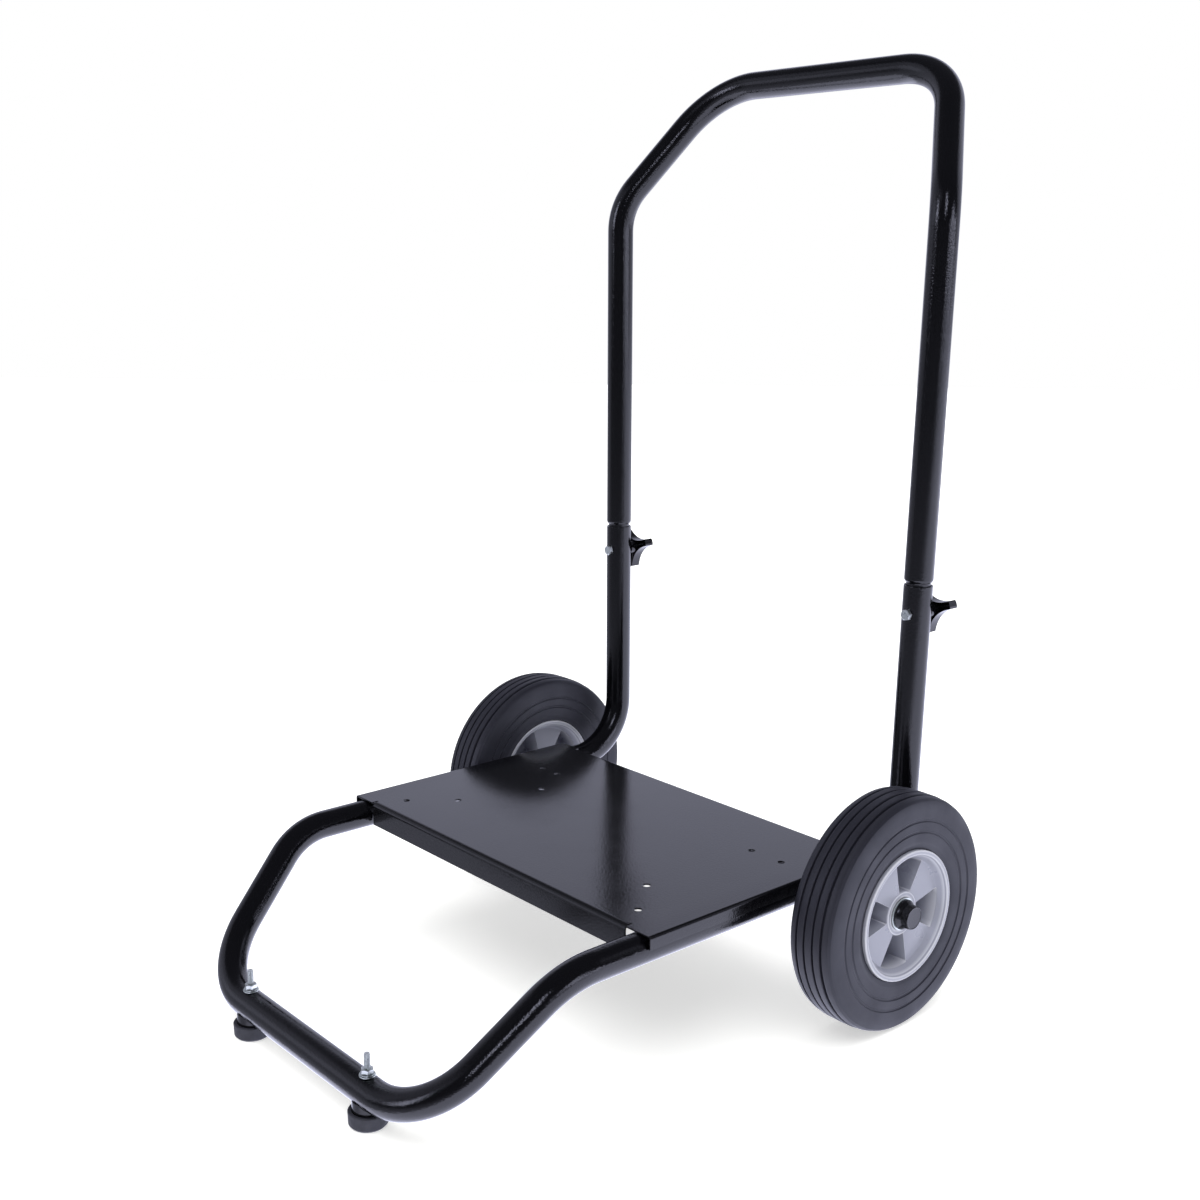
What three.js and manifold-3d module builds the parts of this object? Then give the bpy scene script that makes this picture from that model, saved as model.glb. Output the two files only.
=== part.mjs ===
// Two-wheeled transport cart: a bent tube frame with a sheet-metal deck, a lift-off
// push handle held by two knob bolts, two solid-rubber wheels on a through axle and
// two rubber feet under the front bar.
// Millimetres. +Z is up, +X is the cart's right-hand wheel seen from the front (-Y),
// Y runs from the front bar to the handle. The origin is on the floor, below the
// centre of the cart's bounding box.
import * as THREE from 'three';
import { mergeVertices } from 'three/addons/utils/BufferGeometryUtils.js';
import Module from 'manifold-3d';

const wasm = await Module();
wasm.setup();

// ---------------------------------------------------------------- driving sizes
const GAP = 0.3; // air left between pieces that touch
const INCH = 25.4;
const TUBE_R = 1.25 * INCH / 2;
const TUBE_WALL = 1.65;
const BORE_R = TUBE_R - TUBE_WALL;
const TUBE_SIDES = 12;

// wheels and axle
const WHEEL_R = 129;
const TYRE_WIDTH = 56.6;
const WHEEL_X = 296.7; // middle of the tyre
const CROWN = 2.6;
const RIM_R = 71.8;
const RIM_WIDTH = 53;
const RIM_OFFSET = 2.1; // the rim sits this far outboard of the tyre's middle
const HUB_R = 23.7;
const HUB_RECESS = 9.3; // the hub's outer face sits this far inside the rim's
const HUB_OVERHANG = 9; // how far the hub reaches inboard of the rim
const LIP_R = 66.2; // inner edge of the rim's lip
const SECTOR_R = 60; // outer edge of the web's sector plates
const SECTOR_RECESS = 10.3; // a sector plate sits this far inside the rim's face
const PLATE = 3; // thickness of a sector plate
const LOBES = 4; // raised sectors
const OUTER_SECTOR = 47; // degrees that a raised sector spans
const FIRST_POCKET = 81; // degrees from +Y towards +Z to the middle of a pocket
const WALL_ANGLE = 2; // degrees that a radial wall spans
const AXLE_R = 5 / 8 * INCH / 2;
const AXLE_Y = 173.76;
const AXLE_Z = WHEEL_R;
const AXLE_HALF = 328.5;
const CAP_END = 332.3; // outer face of the axle caps
const CAP_BASE_R = 16.4;
const CAP_END_R = 10.6;
const PUSH_NUT_R = 11.7;
const BRACKET_HALF = 18; // half the width of an axle bracket
const BRACKET_THICK = 6;
const BEARING_R = 17.45;
const BEARING_WIDTH = 12;
const SPACER_R = 10;
const WASHER_R = 17.8;

// frame tube: socket top, rear bend, rail, slope, front bar
const RAIL_X = 238;
const RAIL_Z = 155.4;
const UPRIGHT_Y = AXLE_Y + 95.3;
const REAR_BEND_R = 70;
const SLOPE_Y = AXLE_Y - 399.4;
const SLOPE_BEND_R = 85;
const FRONT_X = 194.5;
const FRONT_Y = AXLE_Y - 534.2;
const FRONT_Z = 33.8;
const FRONT_BEND_R = 92.4;
const SOCKET_Z = 459.2;

// handle: the knees where the legs lean in and back, and the corners of the grip bar
const KNEE_X = 247.2;
const KNEE_Z = 865.5;
const KNEE_BEND_R = 81.6;
const GRIP_X = 174.3;
const GRIP_Y = AXLE_Y + 190.4;
const GRIP_Z = 1008.2;
const GRIP_BEND_R = 95.3;
const SWAGE_R = 13.4;
const NECK = 4.5; // swaged neck that shows above the socket
const INSERTION = 70;

// deck
const DECK_HALF_X = 256.2;
const DECK_FRONT_Y = AXLE_Y - 309.7;
const DECK_REAR_Y = AXLE_Y + 10.8;
const SHEET = 2;
const DECK_Z = RAIL_Z + TUBE_R + GAP + SHEET; // top of the sheet
const FLANGE_DEPTH = 13.5;
const SHEET_BEND_R = 3.5;
const LIP_DEPTH = 27.5;
const LIP_HALF_X = 220;
const DECK_HOLE_R = 4.1;
const DECK_HOLES = [
  // x, distance in front of the axle
  [-201.5, 275], [201.5, 275], [-163.5, 227.5], [163.5, 227.5],
  [168.2, 75.5], [211.2, 75.5], [-161.8, 75.5], [-189.7, 75.5], [-131.6, 125.8],
];

// knob bolts
const BOLT_R = 0.25 * INCH / 2;
const HOLE_R = BOLT_R + 0.4;
const HEX_AF = 7 / 16 * INCH;
const KNOB_Z = 428.3;
const KNOB_BOLT_LENGTH = 2 * INCH;
const KNOB_R = 27;
const KNOB_TIP = 4.5; // half width of a lobe's tip
const KNOB_WAIST = 3.5; // control radius of the hollow between two lobes
const KNOB_THICK = 13;
const KNOB_STANDOFF = 8;
const KNOB_TURN = 20; // degrees from +X towards +Z of the first lobe
const INSERT_R = 5.5;

// feet
const FOOT_X = 110.9;
const FOOT_R = 19.6;
const FOOT_HEIGHT = 15.5;
const SADDLE_R = 15.6;
const SADDLE_Z = 26.5;
const FOOT_SEAT = 11.5; // height of the cup's floor, where the saddle stands
const FOOT_HEAD_TOP = 7; // height of the recess over the bolt's head
const FOOT_BOLT_TOP = 73;

// ---------------------------------------------------------------- solid helpers
function weld(geometry) {
  const bare = geometry.clone();
  bare.deleteAttribute('normal');
  bare.deleteAttribute('uv');
  const merged = mergeVertices(bare, 1e-3);
  const index = merged.index.array;
  const triangles = [];
  for (let i = 0; i < index.length; i += 3) {
    const [a, b, c] = [index[i], index[i + 1], index[i + 2]];
    if (a !== b && b !== c && c !== a) {
      triangles.push(a, b, c);
    }
  }
  const position = merged.attributes.position.array;
  if (signedVolume(position, triangles) < 0) {
    triangles.reverse();
  }
  return { position: new Float32Array(position), triangles: new Uint32Array(triangles) };
}

function signedVolume(position, triangles) {
  const corner = (i) => new THREE.Vector3().fromArray(position, 3 * triangles[i]);
  let volume = 0;
  for (let i = 0; i < triangles.length; i += 3) {
    volume += corner(i).dot(corner(i + 1).cross(corner(i + 2))) / 6;
  }
  return volume;
}

function solid(geometry) {
  const { position, triangles } = weld(geometry);
  return new wasm.Manifold(new wasm.Mesh({
    numProp: 3, vertProperties: position, triVerts: triangles,
  }));
}

function toGeometry(manifold) {
  const mesh = manifold.getMesh();
  const geometry = new THREE.BufferGeometry();
  geometry.setAttribute('position', new THREE.BufferAttribute(mesh.vertProperties, 3));
  geometry.setIndex(new THREE.BufferAttribute(mesh.triVerts, 1));
  geometry.computeVertexNormals();
  return geometry;
}

function join(...solids) {
  return solids.reduce((sum, next) => sum.add(next));
}

function cut(body, ...tools) {
  return tools.reduce((left, tool) => left.subtract(tool), body);
}

// ---------------------------------------------------------------- tube paths
// A chain of straight runs joined by tangent arcs. A station is a place with its
// tangent; the sweep has one ring of vertices at each station.
class BentPath extends THREE.Curve {
  constructor(corners, stepDegrees) {
    super();
    this.stations = [];
    const last = corners.length - 1;
    this.addStation(corners[0].at, direction(corners[0].at, corners[1].at));
    for (let i = 1; i < last; i += 1) {
      this.addBend(corners[i - 1].at, corners[i].at, corners[i + 1].at, corners[i].radius, stepDegrees);
    }
    this.addStation(corners[last].at, direction(corners[last - 1].at, corners[last].at));
  }

  addStation(point, tangent) {
    this.stations.push({ point: point.clone(), tangent: tangent.clone() });
  }

  addBend(before, corner, after, radius, stepDegrees) {
    const incoming = direction(before, corner);
    const outgoing = direction(corner, after);
    const turn = incoming.angleTo(outgoing);
    const setback = radius * Math.tan(turn / 2);
    const start = corner.clone().addScaledVector(incoming, -setback);
    const inward = outgoing.clone().addScaledVector(incoming, -outgoing.dot(incoming)).normalize();
    const steps = Math.max(2, Math.ceil(THREE.MathUtils.radToDeg(turn) / stepDegrees));
    for (let i = 0; i <= steps; i += 1) {
      const angle = turn * i / steps;
      const point = start.clone()
        .addScaledVector(incoming, radius * Math.sin(angle))
        .addScaledVector(inward, radius * (1 - Math.cos(angle)));
      const tangent = incoming.clone().multiplyScalar(Math.cos(angle))
        .addScaledVector(inward, Math.sin(angle));
      this.addStation(point, tangent);
    }
  }

  getUtoTmapping(u) {
    return u;
  }

  getPoint(t, target = new THREE.Vector3()) {
    const place = t * (this.stations.length - 1);
    const i = Math.min(Math.floor(place + 1e-6), this.stations.length - 2);
    return target.lerpVectors(this.stations[i].point, this.stations[i + 1].point, place - i);
  }

  getTangent(t, target = new THREE.Vector3()) {
    const i = Math.round(t * (this.stations.length - 1));
    return target.copy(this.stations[i].tangent);
  }
}

function direction(from, to) {
  return to.clone().sub(from).normalize();
}

function polygon(radius, sides) {
  const points = [];
  for (let i = 0; i < sides; i += 1) {
    const angle = 2 * Math.PI * i / sides;
    points.push(new THREE.Vector2(radius * Math.cos(angle), radius * Math.sin(angle)));
  }
  return points;
}

function sweep(path, radius) {
  return solid(new THREE.ExtrudeGeometry(new THREE.Shape(polygon(radius, TUBE_SIDES)), {
    steps: path.stations.length - 1, bevelEnabled: false, extrudePath: path,
  }));
}

// ---------------------------------------------------------------- turned and cut shapes
// profile: [[radius, height], ...] from axis to axis, or a closed ring when hollow.
function lathe(profile, segments) {
  const points = profile.map(([r, h]) => new THREE.Vector2(r, h));
  return new THREE.LatheGeometry(points, segments);
}

function tube(inner, outer, low, high, segments) {
  return lathe([[inner, low], [outer, low], [outer, high], [inner, high], [inner, low]], segments);
}

function rod(radius, low, high, segments) {
  return lathe([[0, low], [radius, low], [radius, high], [0, high]], segments);
}

// Turned shapes stand along local +Y; these lay them along the cart's axes.
function alongX(geometry, x = 0, y = 0, z = 0) {
  return geometry.rotateZ(-Math.PI / 2).translate(x, y, z);
}

function alongY(geometry, x = 0, y = 0, z = 0) {
  return geometry.translate(x, y, z);
}

function alongZ(geometry, x = 0, y = 0, z = 0) {
  return geometry.rotateX(Math.PI / 2).translate(x, y, z);
}

// A hexagonal prism across flats `af`, standing along local +Y.
function hexPrism(af, low, high) {
  return rod(af / Math.sqrt(3), low, high, 6);
}

function box(lowX, highX, lowY, highY, lowZ, highZ) {
  const geometry = new THREE.BoxGeometry(highX - lowX, highY - lowY, highZ - lowZ);
  return solid(geometry.translate((lowX + highX) / 2, (lowY + highY) / 2, (lowZ + highZ) / 2));
}

// ---------------------------------------------------------------- materials and naming
const finishes = {
  paint: { color: 0x0b0c10, roughness: 0.28, metalness: 0.1 },
  deckPaint: { color: 0x15161a, roughness: 0.4, metalness: 0.1 },
  zinc: { color: 0xb9c0c0, roughness: 0.35, metalness: 1 },
  steel: { color: 0x9b9da0, roughness: 0.3, metalness: 1 },
  brass: { color: 0xb08d4a, roughness: 0.35, metalness: 1 },
  rubber: { color: 0x1b1c22, roughness: 0.75, metalness: 0 },
  tyre: { color: 0x2a2b35, roughness: 0.7, metalness: 0 },
  rim: { color: 0xa7a6b2, roughness: 0.5, metalness: 0 },
  plastic: { color: 0x0d0e10, roughness: 0.4, metalness: 0 },
};

const cart = new THREE.Group();
cart.name = 'transport_cart';

function addPart(name, manifold, finish) {
  const mesh = new THREE.Mesh(toGeometry(manifold), new THREE.MeshStandardMaterial(finishes[finish]));
  mesh.name = name;
  cart.add(mesh);
}

// The upright's centre line leans out a little from the rail to the handle's knee.
function uprightX(z) {
  return RAIL_X + (KNEE_X - RAIL_X) * (z - RAIL_Z) / (KNEE_Z - RAIL_Z);
}

const at = (x, y, z) => new THREE.Vector3(x, y, z);
const sides = [['left', -1], ['right', 1]];

// ---------------------------------------------------------------- frame tube
function framePath(extra) {
  const top = SOCKET_Z + extra;
  const half = [
    { at: at(1, UPRIGHT_Y, top), radius: 0 },
    { at: at(1, UPRIGHT_Y, RAIL_Z), radius: REAR_BEND_R },
    { at: at(1, SLOPE_Y, RAIL_Z), radius: SLOPE_BEND_R },
    { at: at(1, FRONT_Y, FRONT_Z), radius: FRONT_BEND_R },
  ];
  const reach = [uprightX(top), RAIL_X, RAIL_X, FRONT_X];
  const place = (side) => half.map((corner, i) => ({
    at: at(side * reach[i], corner.at.y, corner.at.z), radius: corner.radius,
  }));
  return new BentPath([...place(-1), ...place(1).reverse()], 10);
}

// The hole of a knob bolt goes straight through the socket and the leg inside it.
function knobHole(side) {
  const cutter = rod(HOLE_R, -2 * TUBE_R, 2 * TUBE_R, 12);
  return solid(alongY(cutter, side * uprightX(KNOB_Z), UPRIGHT_Y, KNOB_Z));
}

function footHole(side) {
  const cutter = rod(HOLE_R, -2 * TUBE_R, 2 * TUBE_R, 12);
  return solid(alongZ(cutter, side * FOOT_X, FRONT_Y, FRONT_Z));
}

function makeFrameTube() {
  const holes = sides.flatMap(([, side]) => [knobHole(side), footHole(side)]);
  return cut(sweep(framePath(0), TUBE_R), sweep(framePath(5), BORE_R), ...holes);
}

addPart('frame_tube', makeFrameTube(), 'paint');

// ---------------------------------------------------------------- deck
function makeDeck() {
  const inner = DECK_HALF_X - SHEET;
  const bendX = DECK_HALF_X - SHEET_BEND_R;
  const bendZ = DECK_Z - SHEET_BEND_R;
  const bottom = DECK_Z - FLANGE_DEPTH;
  const outline = new THREE.Shape();
  outline.moveTo(inner, bottom);
  outline.lineTo(DECK_HALF_X, bottom);
  outline.absarc(bendX, bendZ, SHEET_BEND_R, 0, Math.PI / 2, false);
  outline.absarc(-bendX, bendZ, SHEET_BEND_R, Math.PI / 2, Math.PI, false);
  outline.lineTo(-DECK_HALF_X, bottom);
  outline.lineTo(-inner, bottom);
  outline.absarc(-bendX, bendZ, SHEET_BEND_R - SHEET, Math.PI, Math.PI / 2, true);
  outline.absarc(bendX, bendZ, SHEET_BEND_R - SHEET, Math.PI / 2, 0, true);
  outline.closePath();
  const pan = new THREE.ExtrudeGeometry(outline, {
    depth: DECK_REAR_Y - DECK_FRONT_Y, bevelEnabled: false, curveSegments: 3,
  });
  const sheet = solid(pan.rotateX(Math.PI / 2).translate(0, DECK_REAR_Y, 0));
  const lipTop = DECK_Z - SHEET / 2;
  const lipBottom = DECK_Z - LIP_DEPTH;
  const frontLip = box(-LIP_HALF_X, LIP_HALF_X, DECK_FRONT_Y, DECK_FRONT_Y + SHEET, lipBottom, lipTop);
  const rearLip = box(-LIP_HALF_X, LIP_HALF_X, DECK_REAR_Y - SHEET, DECK_REAR_Y, lipBottom, lipTop);
  const holes = DECK_HOLES.map(([x, ahead]) => solid(alongZ(
    rod(DECK_HOLE_R, -2 * SHEET, 2 * SHEET, 16), x, AXLE_Y - ahead, DECK_Z,
  )));
  return cut(join(sheet, frontLip, rearLip), ...holes);
}

addPart('deck_plate', makeDeck(), 'deckPaint');

// ---------------------------------------------------------------- handle
function handlePath(start) {
  const half = (side) => [
    { at: at(side * uprightX(start), UPRIGHT_Y, start), radius: 0 },
    { at: at(side * KNEE_X, UPRIGHT_Y, KNEE_Z), radius: KNEE_BEND_R },
    { at: at(side * GRIP_X, GRIP_Y, GRIP_Z), radius: GRIP_BEND_R },
  ];
  return new BentPath([...half(-1), ...half(1).reverse()], 10);
}

// Puts a shape turned about +Y onto a leg's line, with its zero at height z.
function onLeg(geometry, side, z) {
  const leg = direction(at(side * uprightX(SOCKET_Z), 0, SOCKET_Z), at(side * KNEE_X, 0, KNEE_Z));
  const tilt = new THREE.Quaternion().setFromUnitVectors(at(0, 1, 0), leg);
  return geometry.applyQuaternion(tilt).translate(side * uprightX(z), UPRIGHT_Y, z);
}

function makeHandle() {
  const start = SOCKET_Z + NECK;
  const overlap = 12;
  const swage = (side) => onLeg(lathe([
    [0, -INSERTION - NECK], [SWAGE_R, -INSERTION - NECK], [SWAGE_R, -2],
    [TUBE_R - 0.6, 1.5], [TUBE_R - 0.6, overlap], [0, overlap],
  ], TUBE_SIDES), side, start);
  const swageBore = (side) => onLeg(
    rod(SWAGE_R - TUBE_WALL, -INSERTION - 2 * NECK, overlap, TUBE_SIDES), side, start,
  );
  const body = join(sweep(handlePath(start), TUBE_R), ...sides.map(([, side]) => solid(swage(side))));
  return cut(
    body,
    sweep(handlePath(start + 3), BORE_R),
    ...sides.map(([, side]) => solid(swageBore(side))),
    ...sides.map(([, side]) => knobHole(side)),
  );
}

addPart('handle_tube', makeHandle(), 'paint');

// ---------------------------------------------------------------- knob bolts and knobs
function knobOutline() {
  const outline = new THREE.Shape();
  const lobes = 3;
  for (let i = 0; i < lobes; i += 1) {
    const angle = THREE.MathUtils.degToRad(KNOB_TURN) + 2 * Math.PI * i / lobes;
    const next = angle + Math.PI / lobes;
    const tip = (side) => new THREE.Vector2(KNOB_R, side * KNOB_TIP)
      .rotateAround(new THREE.Vector2(), angle);
    const after = new THREE.Vector2(KNOB_R, -KNOB_TIP)
      .rotateAround(new THREE.Vector2(), angle + 2 * Math.PI / lobes);
    if (i === 0) {
      outline.moveTo(tip(-1).x, tip(-1).y);
    }
    outline.lineTo(tip(1).x, tip(1).y);
    outline.quadraticCurveTo(
      KNOB_WAIST * Math.cos(next), KNOB_WAIST * Math.sin(next), after.x, after.y,
    );
  }
  return outline;
}

function makeKnob(x) {
  const front = UPRIGHT_Y + TUBE_R + GAP;
  const plate = new THREE.ExtrudeGeometry(knobOutline(), {
    depth: KNOB_THICK, bevelEnabled: false, curveSegments: 8,
  });
  const lobes = solid(plate.rotateX(Math.PI / 2).translate(x, front + KNOB_STANDOFF + KNOB_THICK, KNOB_Z));
  const boss = solid(alongY(rod(INSERT_R + 3, 0, KNOB_STANDOFF + 2, 20), x, front, KNOB_Z));
  const bore = solid(alongY(
    rod(INSERT_R + GAP, -1, KNOB_STANDOFF + KNOB_THICK - 1.5, 20), x, front, KNOB_Z,
  ));
  return cut(join(lobes, boss), bore);
}

function makeKnobBolt(x) {
  const seat = UPRIGHT_Y - TUBE_R - GAP;
  const head = solid(alongY(hexPrism(HEX_AF, -4.2, 0), x, seat, KNOB_Z));
  const shank = solid(alongY(rod(BOLT_R, -1, KNOB_BOLT_LENGTH, 12), x, seat, KNOB_Z));
  return join(head, shank);
}

function makeKnobInsert(x) {
  const front = UPRIGHT_Y + TUBE_R + GAP;
  return solid(alongY(
    tube(BOLT_R + GAP, INSERT_R, 0.2, KNOB_STANDOFF + KNOB_THICK - 2, 20), x, front, KNOB_Z,
  ));
}

for (const [name, side] of sides) {
  const x = side * uprightX(KNOB_Z);
  addPart(`knob_bolt_${name}`, makeKnobBolt(x), 'zinc');
  addPart(`knob_insert_${name}`, makeKnobInsert(x), 'brass');
  addPart(`knob_${name}`, makeKnob(x), 'plastic');
}

// ---------------------------------------------------------------- feet
function makeFoot(x) {
  const chamfer = 2;
  const counterbore = 8.5; // radius of the recess for the bolt's head
  const rim = SADDLE_R + GAP;
  return solid(alongZ(lathe([
    [HOLE_R, FOOT_HEAD_TOP], [counterbore, FOOT_HEAD_TOP], [counterbore, 0], [FOOT_R - chamfer, 0],
    [FOOT_R - 0.4, chamfer], [FOOT_R, FOOT_HEIGHT - 0.8], [FOOT_R - 0.8, FOOT_HEIGHT],
    [rim, FOOT_HEIGHT], [rim, FOOT_SEAT], [HOLE_R, FOOT_SEAT], [HOLE_R, FOOT_HEAD_TOP],
  ], 24), x, FRONT_Y, 0));
}

function makeSaddle(x) {
  const low = FOOT_SEAT + GAP;
  const body = solid(alongZ(tube(HOLE_R, SADDLE_R, low, SADDLE_Z, 24), x, FRONT_Y, 0));
  const bar = solid(alongX(rod(TUBE_R + 1.2 * GAP, -2 * SADDLE_R, 2 * SADDLE_R, 32), x, FRONT_Y, FRONT_Z));
  return cut(body, bar);
}

function makeFootBolt(x) {
  const head = solid(alongZ(hexPrism(HEX_AF, 2.8, FOOT_HEAD_TOP - 0.2), x, FRONT_Y, 0));
  const shank = solid(alongZ(rod(BOLT_R, 4, FOOT_BOLT_TOP, 12), x, FRONT_Y, 0));
  return join(head, shank);
}

function makeFootNut(x, low) {
  const hex = solid(alongZ(hexPrism(HEX_AF, low, low + 6), x, FRONT_Y, 0));
  const flange = solid(alongZ(rod(7.2, low, low + 1.4, 24), x, FRONT_Y, 0));
  const hole = solid(alongZ(rod(BOLT_R + GAP, low - 1, low + 8, 12), x, FRONT_Y, 0));
  return cut(join(hex, flange), hole);
}

const washerLow = FRONT_Z + TUBE_R + GAP;
const washerThick = 1.3;
for (const [name, side] of sides) {
  const x = side * FOOT_X;
  addPart(`foot_${name}`, makeFoot(x), 'rubber');
  addPart(`foot_saddle_${name}`, makeSaddle(x), 'plastic');
  addPart(`foot_bolt_${name}`, makeFootBolt(x), 'zinc');
  const washer = tube(BOLT_R + GAP, 8, washerLow, washerLow + washerThick, 24);
  addPart(`foot_washer_${name}`, solid(alongZ(washer, x, FRONT_Y, 0)), 'zinc');
  addPart(`foot_nut_${name}`, makeFootNut(x, washerLow + washerThick + GAP), 'zinc');
}

// ---------------------------------------------------------------- axle and brackets
function makeBracket(x) {
  const half = BRACKET_HALF;
  const thick = BRACKET_THICK;
  const top = RAIL_Z - TUBE_R - GAP;
  const outline = new THREE.Shape();
  outline.moveTo(-half, top);
  outline.lineTo(-half, AXLE_Z);
  outline.absarc(0, AXLE_Z, half, Math.PI, 2 * Math.PI, false);
  outline.lineTo(half, top);
  outline.closePath();
  const plate = new THREE.ExtrudeGeometry(outline, { depth: thick, bevelEnabled: false, curveSegments: 12 });
  // local x becomes Y, local y becomes Z and the thickness runs along X
  plate.applyMatrix4(new THREE.Matrix4().makeBasis(at(0, 1, 0), at(0, 0, 1), at(1, 0, 0)));
  const body = solid(plate.translate(x - thick / 2, AXLE_Y, 0));
  return cut(body, solid(alongX(rod(AXLE_R + GAP, -2 * thick, 2 * thick, 24), x, AXLE_Y, AXLE_Z)));
}

addPart('axle', solid(alongX(lathe([
  [0, -AXLE_HALF], [AXLE_R - 1, -AXLE_HALF], [AXLE_R, -AXLE_HALF + 1],
  [AXLE_R, AXLE_HALF - 1], [AXLE_R - 1, AXLE_HALF], [0, AXLE_HALF],
], 24), 0, AXLE_Y, AXLE_Z)), 'steel');
for (const [name, side] of sides) {
  addPart(`axle_bracket_${name}`, makeBracket(side * RAIL_X), 'paint');
}

// ---------------------------------------------------------------- wheels
// Profiles of wheel pieces are drawn for the right wheel, with heights measured
// along X from the middle of the cart; the left wheel is the mirror image.
const rimOuter = WHEEL_X + RIM_OFFSET + RIM_WIDTH / 2;
const rimInner = rimOuter - RIM_WIDTH;
const hubInner = rimInner - HUB_OVERHANG;
const hubOuter = rimOuter - HUB_RECESS;

function onAxle(geometry, side) {
  const placed = solid(alongX(geometry, 0, AXLE_Y, AXLE_Z));
  return side > 0 ? placed : placed.mirror([1, 0, 0]);
}

function tyreProfile() {
  const half = TYRE_WIDTH / 2;
  const bore = RIM_R + GAP;
  return [
    [bore, WHEEL_X - half + 3], [bore + 8, WHEEL_X - half + 1.5], [104, WHEEL_X - half],
    [WHEEL_R - CROWN - 5, WHEEL_X - half + 1.2], [WHEEL_R - CROWN, WHEEL_X - half + 4.3],
    [WHEEL_R, WHEEL_X - 12], [WHEEL_R, WHEEL_X + 12],
    [WHEEL_R - CROWN, WHEEL_X + half - 4.3], [WHEEL_R - CROWN - 5, WHEEL_X + half - 1.2],
    [104, WHEEL_X + half], [bore + 8, WHEEL_X + half - 1.5], [bore, WHEEL_X + half - 3],
    [bore, WHEEL_X - half + 3],
  ];
}

// The web zigzags: sector plates lie near the outer face and near the inner face in
// turn, with a radial wall wherever one sector meets the next.
const sectorTop = rimOuter - SECTOR_RECESS;
const sectorBottom = rimInner + SECTOR_RECESS;

// A wedge of the web between two angles, from low to high along the axle. Angles are
// measured in the wheel's plane from +Y towards +Z.
function wedge(from, to, low, high) {
  const outline = new THREE.Shape();
  outline.absarc(0, 0, SECTOR_R + 1.5, from, to, false);
  outline.absarc(0, 0, HUB_R - 1.5, to, from, true);
  outline.closePath();
  const block = new THREE.ExtrudeGeometry(outline, {
    depth: high - low, bevelEnabled: false, curveSegments: 4,
  });
  block.applyMatrix4(new THREE.Matrix4().makeBasis(at(0, 1, 0), at(0, 0, 1), at(1, 0, 0)));
  return solid(block.translate(low, AXLE_Y, AXLE_Z));
}

function makeWeb() {
  const pitch = 2 * Math.PI / LOBES;
  const wall = THREE.MathUtils.degToRad(WALL_ANGLE);
  const raised = THREE.MathUtils.degToRad(OUTER_SECTOR);
  const pieces = [];
  for (let i = 0; i < LOBES; i += 1) {
    const pocket = THREE.MathUtils.degToRad(FIRST_POCKET) + pitch * i;
    const start = pocket + (pitch - raised) / 2;
    const end = start + raised;
    pieces.push(wedge(start, end, sectorTop - PLATE, sectorTop));
    pieces.push(wedge(end - wall, start + pitch + wall, sectorBottom, sectorBottom + PLATE));
    pieces.push(wedge(start, start + wall, sectorBottom, sectorTop - PLATE / 2));
    pieces.push(wedge(end - wall, end, sectorBottom, sectorTop - PLATE / 2));
  }
  return join(...pieces);
}

function makeRim(side) {
  const ring = onAxle(tube(SECTOR_R, RIM_R, rimInner, rimOuter, 32), 1);
  const lip = (low, high, radiusLow, radiusHigh) => onAxle(lathe([
    [0, low], [radiusLow, low], [radiusHigh, high], [0, high],
  ], 32), 1);
  const outerMouth = lip(sectorTop + 0.5, rimOuter + 0.5, SECTOR_R, LIP_R);
  const innerMouth = lip(rimInner - 0.5, sectorBottom - 0.5, LIP_R, SECTOR_R);
  const hub = onAxle(rod(HUB_R, hubInner, hubOuter, 24), 1);
  const bore = onAxle(rod(BEARING_R + GAP, hubInner - 1, hubOuter + 1, 20), 1);
  const rim = cut(join(cut(ring, outerMouth, innerMouth), hub, makeWeb()), bore);
  return side > 0 ? rim : rim.mirror([1, 0, 0]);
}

function makeCap(side) {
  const base = hubOuter + 2.2;
  const clearance = 1.9; // depth of the recess over the push nut
  const profile = [
    [0, AXLE_HALF + GAP], [AXLE_R + GAP, AXLE_HALF + GAP], [AXLE_R + GAP, base + clearance],
    [PUSH_NUT_R + 0.7, base + clearance], [PUSH_NUT_R + 0.7, base], [CAP_BASE_R, base],
    [CAP_BASE_R, base + 2], [CAP_BASE_R - 1.8, base + 5], [CAP_END_R + 1.6, CAP_END - 2.5],
    [CAP_END_R, CAP_END], [0, CAP_END],
  ];
  return onAxle(lathe(profile, 20), side);
}

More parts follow.
